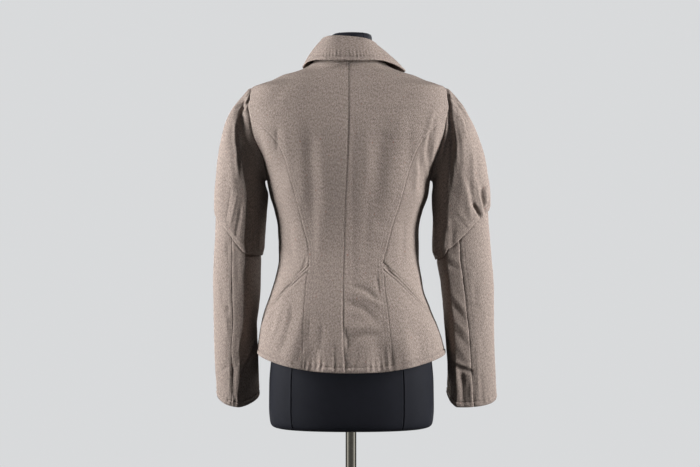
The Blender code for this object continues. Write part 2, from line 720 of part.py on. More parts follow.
def section(table, powers, side, round_it, z):
    """A point of a sleeve; round_it is 0 beside the body, 90 at the back, 180 outside, 270 in front."""
    round_it, z = np.broadcast_arrays(np.asarray(round_it, float), np.asarray(z, float))
    inner, outer, back, front, ridge, hollow = columns(table, z)
    outer_y, front_x = 0.45 * back + 0.55 * front, 0.5 * (inner + outer)
    quarter = np.clip((round_it % 360) // 90, 0, 3).astype(int)
    within = np.radians(round_it % 360 - 90 * quarter)
    power = 2 / np.array(powers)[quarter]
    falling, rising = np.cos(within) ** power, np.sin(within) ** power
    x = np.choose(
        quarter,
        [
            ridge + (inner - ridge) * falling,
            ridge + (outer - ridge) * rising,
            front_x + (outer - front_x) * falling,
            front_x + (inner - front_x) * rising,
        ],
    )
    y = np.choose(
        quarter,
        [
            hollow + (back - hollow) * rising,
            outer_y + (back - outer_y) * falling,
            outer_y + (front - outer_y) * rising,
            hollow + (front - hollow) * falling,
        ],
    )
    return np.stack([side * x, y, z], -1)


def armhole_ring(side, seam):
    """Points round the armhole from the underarm by way of the back, and their places round the sleeve."""
    ring, places = [], []
    runs = (
        (seam["arm_low_back"][::-1], -1, 2),
        (seam["arm_high_back"], -1, 4),
        (seam["arm_high_front"][::-1], 1, 4),
        (seam["arm_low_front"], 1, 2),
    )
    for curve, face, parts in runs:
        point, normal = cloth(side, curve[:, 0], curve[:, 1])
        cos = np.clip((ARMHOLE_MIDDLE_Z - curve[:, 1]) / ARMHOLE_HALF_HEIGHT, -1, 1)
        angle = np.degrees(np.arccos(cos))
        angle = angle if face < 0 else 360 - angle
        for k in range(len(curve) - 1):
            for step in range(parts):
                share = step / parts
                ring.append((1 - share) * point[k] + share * point[k + 1])
                places.append((1 - share) * angle[k] + share * angle[k + 1])
    return np.array(ring), np.array(places)


def elbow_z(round_it):
    return ELBOW_SEAM_Z - ELBOW_SEAM_RISE * np.cos(np.radians(round_it))


def upper_sleeve(side, seam, word, lower_edge):
    table = smooth(UPPER_SLEEVE[side])
    powers = SLEEVE_POWERS[side]
    ring, places = armhole_ring(side, seam)
    middle = ring.mean(axis=0)
    cos, sin = np.cos(np.radians(places)), np.sin(np.radians(places))
    start = ring + unit(middle - ring) * 0.0004
    start[:, 0] += side * 0.0003
    biceps_z = BICEPS_LOW_Z + BICEPS_RISE * (1 - cos) / 2
    end = section(table, powers, side, places, biceps_z)
    rise = unit(section(table, powers, side, places, biceps_z + 0.012) - end)
    span = np.linalg.norm(end - start, axis=1)[:, None]
    top = (1 - cos) / 2
    way = unit(np.stack([side * (1.0 - 0.15 * top), -0.18 * sin, -0.12 - 0.48 * top], -1))
    first = start + way * np.minimum(0.30 * span, 0.045)
    second = end + rise * np.minimum(0.45 * span, 0.085)
    rows = []
    for step in HEAD_STEPS:
        rows.append(
            (1 - step) ** 3 * start
            + 3 * (1 - step) ** 2 * step * first
            + 3 * (1 - step) * step**2 * second
            + step**3 * end
        )
    low = elbow_z(places)
    for share in (0.30, 0.62, 0.88):
        rows.append(section(table, powers, side, places, biceps_z + (low - biceps_z) * share))
    rows.append(lower_edge(places))
    grid = np.array(rows)[::-1]
    normal = grid_normals(grid, True) * -side
    if side > 0:
        normal = -grid_normals(grid, True)
    steps = np.concatenate([HEAD_STEPS, np.full(4, 1.0)])[::-1][:, None]
    relief = np.zeros(grid.shape[:2])
    for place, half, height, reach in GATHERS[side]:
        fade = np.clip(1 - steps / reach, 0, 1) * np.clip(steps / 0.05, 0, 1)
        relief += height * bump(places[None], place, half) * fade
    behind = bump(places[None], 132, 30)
    relief -= HEAD_VALLEY[side] * behind * bump(steps, 0.17, 0.09) * (steps > 0)
    relief += HEAD_PUFF[side] * bump(places[None], 138, 34) * bump(steps, 0.50, 0.22)
    outer = grid + normal * relief[..., None]
    outward = outer - outer.mean(axis=1, keepdims=True)
    normal = grid_normals(outer, True)
    if (normal * outward).sum() < 0:
        normal = -normal
    slab("sleeve_upper_" + word, outer, outer - normal * WALL, closed_round=True)


LOWER_AROUND = 24
LOWER_ROWS = 8


def lower_sleeve(side, word):
    """The two panels below the elbow seam, parted at the back seam and at the front one."""
    table = smooth(LOWER_SLEEVE[side])
    powers = SLEEVE_POWERS[side]

    def surface(places):
        top = elbow_z(places) + SLEEVE_TUCK
        back = float(table(CUFF_Z)[2])
        cuff = section(table, powers, side, places, CUFF_Z)
        cuff_z = CUFF_Z + CUFF_SLOPE * (cuff[:, 1] - back)
        share = np.linspace(0, 1, LOWER_ROWS + 1)[:, None]
        return section(table, powers, side, places, cuff_z + (top - cuff_z) * share)

    back_seam_place, front_seam_place = 118.0, 300.0
    around = front_seam_place - back_seam_place
    outer_places = np.linspace(back_seam_place, front_seam_place, LOWER_AROUND // 2 + 1)
    under_places = np.linspace(front_seam_place, back_seam_place + 360, LOWER_AROUND // 2 + 1)
    whole = np.concatenate([outer_places[:-1], under_places[:-1]])
    grid = surface(whole)
    normal = grid_normals(grid, True)
    outward = grid - grid.mean(axis=1, keepdims=True)
    if (normal * outward).sum() < 0:
        normal = -normal
    half = len(outer_places) - 1
    loops = {
        "outer_": list(range(half + 1)),
        "under_": list(range(half, len(whole))) + [0],
    }
    for kind, columns_used in loops.items():
        outer = grid[:, columns_used]
        inner = outer - normal[:, columns_used] * WALL
        slab("sleeve_lower_" + kind + word, outer, inner)

    top_normal = normal[-1] * np.array([1, 1, 0])
    rim = grid[-1] + unit(top_normal) * (WALL + 0.0009)

    def edge(places):
        """Where the upper sleeve's edge lies over the lower one."""
        order = np.concatenate([whole, [whole[0] + 360]])
        closed = np.vstack([rim, rim[:1]])
        where = (places - whole[0]) % 360 + whole[0]
        point = np.stack([np.interp(where, order, closed[:, k]) for k in range(3)], -1)
        point[:, 2] = elbow_z(places)
        return point

    return edge


def neck_ring(seams):
    """Points of the neck seam from the left front round the back to the right front, on its chords."""
    ring = []
    for side in (-1, 1):
        curve = np.vstack([seams[side]["neck_back"], seams[side]["neck_front"][1:]])
        curve = curve[curve[:, 0] < 89.5]
        point, normal = cloth(side, curve[:, 0], curve[:, 1])
        if side > 0:
            lift = front_lift(point) * (curve[:, 0] > 0)
            point = point + normal * lift[:, None]
        run = []
        for k in range(len(curve) - 1):
            for share in np.linspace(0, 1, 3)[(k > 0) :]:
                place = (1 - share) * curve[k] + share * curve[k + 1]
                run.append((side, place, (1 - share) * point[k] + share * point[k + 1]))
        ring += run[::-1] if side < 0 else run[1:]
    return ring


def collar(seams):
    """One folded band round the neck, from its seam up over the fold and down to its free edge."""
    shares, turns = np.array([row[:2] for row in COLLAR_STATIONS]).T
    rows = []
    for side, place, low in neck_ring(seams):
        share = float(np.interp(place[0], turns, shares))
        _, fold_x, fold_y, fold_z, edge_turn, left_z, right_z, lift = collar_station(share)
        half = 0.5 * (1 + side * min(1.0, share / 0.3))
        edge_z = left_z * (1 - half) + right_z * half
        normal = body_normal(side, *place)
        up = unit(body(side, *place) - body(side, place[0], place[1] - 0.002))
        base = low - normal * WALL / 2 + up * 0.0007
        fold = np.array(
            [COLLAR_CENTRE + side * fold_x, fold_y, fold_z - side * COLLAR_TILT * fold_x / 0.053]
        )
        edge = body(side, edge_turn, edge_z) + body_normal(side, edge_turn, edge_z) * lift
        out = unit(np.array([edge[0] - base[0] * 0.6, edge[1] - base[1] * 0.6, 0]))
        centre = fold - np.array([0, 0, COLLAR_ROLL])
        top_in, top_out = centre - out * COLLAR_ROLL, centre + out * COLLAR_ROLL
        bow = unit(np.cross(np.cross(out, edge - top_out), edge - top_out))
        bow = bow if bow @ out > 0 else -bow
        line = [base + (top_in - base) * s for s in (0, 0.35, 0.7, 0.92)]
        for angle in (150, 100, 50, 10):
            turn = math.radians(angle)
            ray = out * math.cos(turn) + np.array([0, 0, 1]) * math.sin(turn)
            line.append(centre + ray * COLLAR_ROLL)
        for s in (0.2, 0.45, 0.72, 1.0):
            line.append(top_out + (edge - top_out) * s + bow * 0.003 * math.sin(math.pi * s))
        rows.append(line)
    grid = np.array(rows)
    normal = grid_normals(grid, False)
    fall = normal[:, -2] * (grid[:, -2] - grid[:, 1])
    if fall.sum() < 0:
        normal = -normal
    half = normal * COLLAR_THICKNESS / 2
    slab("collar", grid + half, grid - half)


def buttons():
    rim, t = BUTTON_RADIUS, BUTTON_THICKNESS
    profile = (
        # radius, height
        (0.85 * rim, 0.0),
        (rim, 0.30 * t),
        (0.96 * rim, 0.85 * t),
        (0.82 * rim, t),
        (0.66 * rim, 0.75 * t),
    )
    for number, z in enumerate(BUTTON_HEIGHTS, 1):
        turn = float(turn_at(1, 0.0, z, 1))
        point, normal = cloth(1, turn, z)
        seat = point + normal * (OVERLAP_LIFT + 0.0008)
        turned(f"button_{number}", profile, seat, normal, "button", 16)


def form():
    """The limbless torso: smooth rings from its flat underside to the top of its neck."""
    turn = np.linspace(-180, 180, FORM_AROUND + 1)[:-1]
    cos, sin = np.cos(np.radians(turn)), np.sin(np.radians(turn))
    points, faces = [], []
    for z, centre, half, back, front, power in FORM_RINGS:
        depth = np.where(sin < 0, back, front)
        x = centre + half * power_of(cos, 2 / power)
        y = depth * power_of(sin, 2 / power)
        points.append(np.stack([x, y, np.full(x.shape, z)], -1))
    for row in range(len(FORM_RINGS) - 1):
        for k in range(FORM_AROUND):
            n = (k + 1) % FORM_AROUND
            a, b = row * FORM_AROUND, (row + 1) * FORM_AROUND
            faces.append([a + k, a + n, b + n, b + k])
    faces.append(list(range(FORM_AROUND))[::-1])
    faces.append([(len(FORM_RINGS) - 1) * FORM_AROUND + k for k in range(FORM_AROUND)])
    solid("form", np.concatenate(points), faces, "form")


def stand():
    top, gap = BASE_THICKNESS, 2 * SEAM_HALF_GAP
    base = ((BASE_RADIUS, 0), (BASE_RADIUS, top - 0.003), (BASE_RADIUS - 0.003, top))
    turned("base", base, (0, 0, 0), (0, 0, 1), "stand", 48)
    pole = (
        # radius, height
        (0.034, top + gap),
        (0.034, top + 0.006),
        (0.020, top + 0.012),
        (0.0145, top + 0.030),
        (POLE_RADIUS, top + 0.032),
        (POLE_RADIUS, FORM_BOTTOM - gap),
    )
    turned("pole", pole, (0, 0, 0), (0, 0, 1), "chrome", 24)


def main():
    for thing in list(bpy.data.objects):
        bpy.data.objects.remove(thing, do_unlink=True)
    stand()
    form()
    seams = {side: seams_of(side) for side in (-1, 1)}
    for side, word in ((-1, "left"), (1, "right")):
        seam = seams[side]
        body_panels(side, seam, word)
        edge = lower_sleeve(side, word)
        upper_sleeve(side, seam, word, edge)
    collar(seams)
    buttons()


main()
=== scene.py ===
"""Looks of a fitted wool jacket on a limbless dress form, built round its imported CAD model.

The centre back faces -Y, +X is the wearer's right and +Z is up. Lengths are in metres. A place on the
jacket's body is a turn and a height: the turn is -90 degrees at the centre back, 0 at the side and 90 at the
centre front, and side is 1 for the wearer's right and -1 for the left. Round a sleeve, 0 is beside the body,
90 is at the back, 180 is outside and 270 is in front.
"""

import math

import bpy
import numpy as np
from bpy.props import FloatProperty, FloatVectorProperty, PointerProperty
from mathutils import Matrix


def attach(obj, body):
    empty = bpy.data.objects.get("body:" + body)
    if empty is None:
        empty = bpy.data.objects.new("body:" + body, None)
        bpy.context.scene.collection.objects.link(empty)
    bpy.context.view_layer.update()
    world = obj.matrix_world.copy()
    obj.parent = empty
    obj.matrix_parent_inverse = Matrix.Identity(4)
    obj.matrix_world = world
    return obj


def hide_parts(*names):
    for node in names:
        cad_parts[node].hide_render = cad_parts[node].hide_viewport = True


bl_info = {
    "name": "Wool jacket on a dress form",
    "version": (1, 0, 0),
    "blender": (4, 5, 0),
    "location": "3D View > Sidebar > Jacket",
    "description": "Sews the cloth, collar, sleeves and stitches of the jacket and finishes its dress form",
    "category": "Object",
}

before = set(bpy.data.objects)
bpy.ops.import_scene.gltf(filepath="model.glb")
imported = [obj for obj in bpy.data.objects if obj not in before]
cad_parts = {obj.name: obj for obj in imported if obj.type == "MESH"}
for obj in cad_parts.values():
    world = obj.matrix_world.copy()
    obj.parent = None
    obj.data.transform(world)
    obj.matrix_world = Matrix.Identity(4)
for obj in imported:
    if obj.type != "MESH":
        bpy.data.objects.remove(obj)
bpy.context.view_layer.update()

SIDES = ((-1, "left"), (1, "right"))

NAPE_Z = 1.432
NECK_SIDE_Z = 1.437
SHOULDER_TIP_Z = 1.386
UNDERARM_Z = 1.195
WAIST_Z = 1.029
HIP_SEAM_SIDE_Z = 0.905
HEM_SIDE_Z = 0.842
HEM_DIP_BACK = 0.030
HEM_DIP_FRONT = 0.020
ARMHOLE_TURN_BACK = 24.5
ARMHOLE_TURN_FRONT = 27.0
ARMHOLE_JOIN_BACK = 109.0
ARMHOLE_JOIN_FRONT = 92.0
FRONT_OVERLAP = 0.018
LAP_X = 0.022
LAP_EASE = 0.030
LAP_GAP = 0.0020
SEAM_HALF_GAP = 0.0001

# Outer face of the jacket's body, ring by ring.
BODY_RINGS = (
    # z, centre, half_width, back, front, power
    (0.805, 0.0000, 0.1990, 0.141, 0.136, 2.30),
    (0.842, 0.0005, 0.1925, 0.136, 0.132, 2.30),
    (0.869, -0.0010, 0.1880, 0.133, 0.130, 2.30),
    (0.901, -0.0040, 0.1800, 0.128, 0.126, 2.30),
    (0.934, -0.0070, 0.1690, 0.121, 0.120, 2.30),
    (0.967, -0.0070, 0.1570, 0.112, 0.114, 2.30),
    (1.000, -0.0050, 0.1490, 0.102, 0.109, 2.30),
    (1.033, -0.0045, 0.1435, 0.094, 0.105, 2.30),
    (1.065, -0.0045, 0.1435, 0.090, 0.104, 2.30),
    (1.098, -0.0055, 0.1445, 0.091, 0.107, 2.30),
    (1.131, -0.0050, 0.1510, 0.096, 0.114, 2.30),
    (1.164, -0.0040, 0.1620, 0.103, 0.123, 2.30),
    (1.195, -0.0050, 0.1670, 0.110, 0.130, 2.30),
    (1.223, -0.0050, 0.1755, 0.115, 0.131, 2.30),
    (1.246, -0.0050, 0.1880, 0.117, 0.128, 2.30),
    (1.266, -0.0050, 0.2000, 0.118, 0.125, 2.30),
    (1.289, -0.0050, 0.2100, 0.118, 0.120, 2.30),
    (1.309, -0.0050, 0.2135, 0.116, 0.115, 2.30),
    (1.340, -0.0050, 0.2150, 0.108, 0.103, 2.30),
    (1.361, -0.0050, 0.2085, 0.100, 0.094, 2.25),
    (1.386, -0.0050, 0.1970, 0.090, 0.083, 2.20),
    (1.393, -0.0050, 0.1800, 0.086, 0.080, 2.15),
    (1.400, -0.0050, 0.1580, 0.082, 0.077, 2.10),
    (1.410, -0.0050, 0.1360, 0.077, 0.074, 2.10),
    (1.4175, -0.0050, 0.1090, 0.073, 0.072, 2.05),
    (1.426, -0.0050, 0.0880, 0.069, 0.070, 2.00),
    (1.437, -0.0050, 0.0740, 0.066, 0.068, 2.00),
)

# Seams of the back, by their distance from the pole's axis.
BACK_SEAMS = (
    # z, centre, left, right
    (0.805, -0.0100, -0.095, 0.085),
    (0.870, -0.0150, -0.095, 0.079),
    (0.930, -0.0160, -0.093, 0.073),
    (0.980, -0.0150, -0.090, 0.067),
    (1.029, -0.0140, -0.084, 0.064),
    (1.060, -0.0130, -0.0855, 0.072),
    (1.100, -0.0120, -0.096, 0.082),
    (1.145, -0.0110, -0.107, 0.097),
    (1.190, -0.0090, -0.119, 0.110),
    (1.250, -0.0060, -0.138, 0.130),
    (1.285, -0.0050, -0.161, 0.152),
    (1.305, -0.0045, -0.180, 0.170),
    (1.437, -0.0040, -0.200, 0.190),
)

FRONT_SEAMS = (
    # z, distance from the centre front
    (0.805, 0.080),
    (0.930, 0.073),
    (1.029, 0.068),
    (1.100, 0.073),
    (1.185, 0.087),
    (1.240, 0.112),
    (1.272, 0.150),
    (1.437, 0.190),
)

FRONT_NECK = (
    # x, z
    (0.0000, 1.3720),
    (0.0200, 1.3750),
    (0.0400, 1.3845),
    (0.0580, 1.4000),
    (0.0680, 1.4145),
    (0.0710, 1.4275),
)

# Soft folds of the body, straight from one end to the other.
BODY_FOLDS = (
    # face, x_low, z_low, x_high, z_high, half_width, height
    (-1, -0.072, 1.090, -0.082, 1.280, 0.016, -0.0030),
    (-1, 0.050, 1.150, 0.062, 1.285, 0.018, -0.0030),
    (-1, -0.176, 1.225, -0.188, 1.300, 0.010, -0.0030),
    (-1, 0.158, 1.195, 0.172, 1.300, 0.010, 0.0030),
    (-1, 0.146, 1.180, 0.156, 1.250, 0.010, -0.0030),
    (-1, -0.046, 0.812, -0.040, 0.870, 0.020, 0.0035),
    (-1, -0.078, 0.812, -0.074, 0.860, 0.014, -0.0025),
    (-1, 0.028, 0.812, 0.022, 0.880, 0.020, 0.0035),
    (-1, 0.058, 0.812, 0.052, 0.870, 0.014, -0.0030),
    (-1, 0.112, 0.820, 0.100, 0.900, 0.020, 0.0040),
    (-1, -0.126, 0.820, -0.110, 0.910, 0.018, 0.0040),
    (-1, 0.142, 0.830, 0.136, 0.900, 0.014, -0.0025),
    (1, -0.120, 0.820, -0.108, 0.920, 0.022, 0.0040),
    (1, 0.118, 0.820, 0.108, 0.910, 0.022, 0.0040),
    (1, -0.150, 1.190, -0.165, 1.290, 0.014, -0.0030),
    (1, 0.150, 1.195, 0.165, 1.290, 0.014, -0.0030),
)

# Collar from the centre back to the centre front: its fold, and where its edge lies over the body.
COLLAR_STATIONS = (
    # share, base_turn, fold_x, fold_y, fold_z, edge_turn, edge_z_left, edge_z_right, edge_lift
    (0.00, -90.0, 0.0000, -0.0660, 1.4830, -90.0, 1.4290, 1.4290, 0.0180),
    (0.15, -60.0, 0.0285, -0.0600, 1.4825, -60.0, 1.4290, 1.4270, 0.0170),
    (0.30, -30.0, 0.0475, -0.0360, 1.4805, -30.0, 1.4280, 1.4215, 0.0110),
    (0.45, 0.0, 0.0545, -0.0040, 1.4765, 0.0, 1.4250, 1.4165, 0.0052),
    (0.60, 30.0, 0.0545, 0.0280, 1.4610, 28.0, 1.4205, 1.4135, 0.0056),
    (0.76, 56.0, 0.0480, 0.0560, 1.4390, 50.0, 1.4030, 1.3975, 0.0066),
    (0.90, 76.0, 0.0280, 0.0790, 1.4120, 66.0, 1.3600, 1.3580, 0.0072),
    (1.00, 90.0, 0.0050, 0.0900, 1.3960, 74.5, 1.3310, 1.3310, 0.0085),
)
# How far the fold drops for each metre to the right
COLLAR_TILT = 0.0045 / 0.053
COLLAR_SEAT_IN = 0.0011
COLLAR_SEAT_UP = 0.0007
COLLAR_BOW = 0.0030
STAND_ROWS = 14
ROLL_ROWS = 10
FALL_ROWS = 34
COLLAR_CENTRE = -0.0040
COLLAR_ROLL = 0.0030
COLLAR_THICKNESS = 0.0030
COLLAR_RIB = 0.0076

ARMHOLE_MIDDLE_Z = 0.5 * (UNDERARM_Z + SHOULDER_TIP_Z)
ARMHOLE_HALF_HEIGHT = 0.5 * (SHOULDER_TIP_Z - UNDERARM_Z)
BICEPS_LOW_Z = 1.165
BICEPS_RISE = 0.045
CUFF_Z = 0.733
CUFF_SLOPE = 0.35
SLEEVE_TUCK = 0.004

# Slanting seam at the elbow
ELBOW_SEAM = {
    -1: (
        # round, z
        (0, 1.0420),
        (60, 1.0430),
        (90, 1.0485),
        (106, 1.0665),
        (117, 1.0830),
        (134, 1.1020),
        (155, 1.1180),
        (180, 1.1280),
        (270, 1.0850),
        (360, 1.0420),
    ),
    1: (
        (0, 1.0330),
        (60, 1.0380),
        (90, 1.0560),
        (112, 1.0860),
        (133, 1.1135),
        (155, 1.1280),
        (180, 1.1350),
        (270, 1.0850),
        (360, 1.0330),
    ),
}

# Sleeve sections, as distances out from the pole's axis.
UPPER_SLEEVE = {
    -1: (
        # z, inner, outer, back, front, ridge_x, hollow_y
        (1.025, 0.1800, 0.2850, -0.048, 0.068, 0.215, 0.028),
        (1.065, 0.1780, 0.2860, -0.050, 0.066, 0.216, 0.026),
        (1.115, 0.1745, 0.2825, -0.051, 0.062, 0.213, 0.024),
        (1.165, 0.1700, 0.2805, -0.054, 0.060, 0.211, 0.020),
        (1.220, 0.1720, 0.2765, -0.057, 0.058, 0.220, 0.015),
    ),
    1: (
        (1.025, 0.1690, 0.2920, -0.050, 0.068, 0.194, 0.020),
        (1.065, 0.1675, 0.2910, -0.052, 0.066, 0.190, 0.018),
        (1.115, 0.1680, 0.2870, -0.053, 0.062, 0.195, 0.016),
        (1.165, 0.1660, 0.2865, -0.056, 0.060, 0.199, 0.014),
        (1.220, 0.1690, 0.2790, -0.058, 0.058, 0.205, 0.010),
    ),
}
LOWER_SLEEVE = {
    -1: (
        # z, inner, outer, back, front, ridge_x, hollow_y
        (0.720, 0.1900, 0.2760, -0.020, 0.079, 0.232, 0.038),
        (0.750, 0.1900, 0.2765, -0.022, 0.078, 0.232, 0.037),
        (0.800, 0.1910, 0.2800, -0.026, 0.076, 0.226, 0.035),
        (0.852, 0.1925, 0.2825, -0.030, 0.074, 0.227, 0.033),
        (0.901, 0.1940, 0.2825, -0.033, 0.072, 0.219, 0.031),
        (0.934, 0.1900, 0.2840, -0.036, 0.070, 0.217, 0.030),
        (0.983, 0.1860, 0.2840, -0.040, 0.067, 0.217, 0.028),
        (1.035, 0.1855, 0.2820, -0.043, 0.063, 0.214, 0.026),
        (1.150, 0.1860, 0.2765, -0.045, 0.057, 0.214, 0.022),
    ),
    1: (
        (0.720, 0.1985, 0.3005, -0.022, 0.079, 0.216, 0.038),
        (0.750, 0.1985, 0.3005, -0.024, 0.078, 0.215, 0.037),
        (0.800, 0.2000, 0.2990, -0.028, 0.076, 0.214, 0.035),
        (0.852, 0.1965, 0.2960, -0.032, 0.074, 0.213, 0.032),
        (0.901, 0.1925, 0.2950, -0.035, 0.072, 0.210, 0.029),
        (0.934, 0.1900, 0.2950, -0.038, 0.070, 0.206, 0.027),
        (0.983, 0.1850, 0.2940, -0.042, 0.067, 0.201, 0.024),
        (1.035, 0.1770, 0.2895, -0.045, 0.063, 0.196, 0.020),
        (1.150, 0.1790, 0.2800, -0.047, 0.057, 0.196, 0.014),
    ),
}
LOWER_SEAMS = {
    # round_it of the back seam and of the front seam at the elbow, and how far both turn down to the cuff
    -1: (115.0, 300.0, -11.0),
    1: (104.0, 300.0, 9.0),
}
SLEEVE_POWERS = {
    # inner to back, back to outer, outer to front, front to inner
    -1: (1.35, 2.0, 2.2, 2.0),
    1: (1.80, 2.1, 2.2, 2.0),
}

# Gathers of the sleeve heads: ridges that leave the armhole and fade.
GATHERS = {
    -1: (
        # round, half_width, height, reach
        (124.0, 5.0, 0.0018, 0.35),
        (138.0, 5.0, 0.0024, 0.45),
        (151.0, 5.0, 0.0030, 0.50),
        (163.0, 4.5, 0.0026, 0.45),
        (174.0, 4.5, 0.0030, 0.40),
        (187.0, 4.5, 0.0026, 0.45),
        (200.0, 5.0, 0.0030, 0.50),
        (214.0, 5.0, 0.0024, 0.45),
        (229.0, 5.0, 0.0018, 0.35),
    ),
    1: (
        (121.0, 5.0, 0.0018, 0.40),
        (134.0, 5.5, 0.0028, 0.55),
        (148.0, 5.5, 0.0032, 0.60),
        (161.0, 5.0, 0.0030, 0.50),
        (173.0, 4.5, 0.0026, 0.40),
        (186.0, 4.5, 0.0026, 0.45),
        (199.0, 5.0, 0.0030, 0.50),
        (213.0, 5.0, 0.0024, 0.45),
        (228.0, 5.0, 0.0018, 0.35),
    ),
}
# Depth, place down the head and half width of the hollow beside the armhole
HEAD_VALLEY = {-1: (0.0110, 0.17, 0.08), 1: (0.0012, 0.12, 0.06)}
# Height, place round the sleeve and half width of the puff below the head
HEAD_PUFF = {-1: (0.0060, 138, 34), 1: (0.0058, 108, 24)}

FORM_RINGS = (
    # z, centre, half_width, back, front, power
    (0.6900, 0.0010, 0.1520, 0.089, 0.084, 2.20),
    (0.6925, 0.0010, 0.1605, 0.097, 0.092, 2.20),
    (0.6985, 0.0010, 0.1655, 0.102, 0.096, 2.20),
    (0.7080, 0.0010, 0.1675, 0.104, 0.098, 2.20),
    (0.7300, 0.0010, 0.1690, 0.106, 0.098, 2.20),
    (0.7800, 0.0010, 0.1685, 0.109, 0.099, 2.20),
    (0.8200, 0.0010, 0.1655, 0.110, 0.100, 2.20),
    (0.8600, 0.0005, 0.1590, 0.110, 0.100, 2.20),
    (0.9000, 0.0000, 0.1510, 0.106, 0.099, 2.20),
    (0.9500, -0.0020, 0.1400, 0.096, 0.095, 2.20),
    (1.0000, -0.0030, 0.1300, 0.085, 0.091, 2.20),
    (1.0500, -0.0040, 0.1240, 0.077, 0.089, 2.20),
    (1.1000, -0.0040, 0.1265, 0.078, 0.094, 2.20),
    (1.1500, -0.0040, 0.1360, 0.086, 0.107, 2.20),
    (1.2000, -0.0040, 0.1470, 0.095, 0.117, 2.20),
    (1.2500, -0.0040, 0.1560, 0.103, 0.113, 2.20),
    (1.3000, -0.0045, 0.1660, 0.107, 0.105, 2.20),
    (1.3400, -0.0050, 0.1760, 0.099, 0.092, 2.20),
    (1.3620, -0.0050, 0.1815, 0.091, 0.083, 2.20),
    (1.3780, -0.0050, 0.1835, 0.0840, 0.0760, 2.10),
    (1.3840, -0.0050, 0.1815, 0.0810, 0.0735, 2.05),
    (1.3900, -0.0050, 0.1720, 0.0775, 0.0710, 2.00),
    (1.3970, -0.0050, 0.1500, 0.0690, 0.0650, 2.00),
    (1.4060, -0.0050, 0.1260, 0.0640, 0.0610, 1.95),
    (1.4145, -0.0050, 0.0990, 0.0600, 0.0580, 1.95),
    (1.4230, -0.0045, 0.0770, 0.0570, 0.0560, 1.95),
    (1.4330, -0.0035, 0.0640, 0.0560, 0.0550, 2.00),
    (1.4450, -0.0010, 0.0510, 0.0510, 0.0510, 2.00),
    (1.4600, 0.0010, 0.0442, 0.0470, 0.0470, 2.00),
    (1.4760, 0.0015, 0.0422, 0.0440, 0.0440, 2.00),
    (1.4890, 0.0015, 0.0415, 0.0430, 0.0430, 2.00),
    (1.4937, 0.0015, 0.0395, 0.0410, 0.0410, 2.00),
    (1.4955, 0.0015, 0.0360, 0.0375, 0.0375, 2.00),
)

# Soft boxes and one narrow strip light, as areas that face their aim
LAMPS = (
    # name, place, aim, width, height, power, spread
    ("softbox_left", (-2.2, -0.40, 1.50), (0, 0, 1.1), 0.40, 1.3, 11.4, 60),
    ("softbox_left_rear", (-2.2, 0.0, 1.50), (0, 0, 1.1), 0.40, 1.3, 6.8, 60),
    ("softbox_right", (2.2, -0.40, 1.50), (0, 0, 1.1), 0.40, 1.3, 16.4, 60),
    ("softbox_front_left", (-1.7, 2.4, 1.80), (0, 0, 1.1), 0.9, 0.9, 6.5, 60),
    ("softbox_front_right", (1.7, 2.4, 1.80), (0, 0, 1.1), 0.9, 0.9, 6.5, 60),
    ("softbox_above", (0.0, -1.5, 3.0), (0, 0, 1.1), 1.0, 0.5, 0.7, 60),
    ("strip_with_grid", (0.0, -2.6, 1.20), (0, 0, 1.12), 0.12, 0.9, 0.28, 9),
)

# Creases in millimetres, as they show from the camera's distance on the plane of the pole. A height below
# nothing is a hollow.
VIEW_DISTANCE = 3.5
VIEW_X = -0.002
VIEW_Z = 1.087
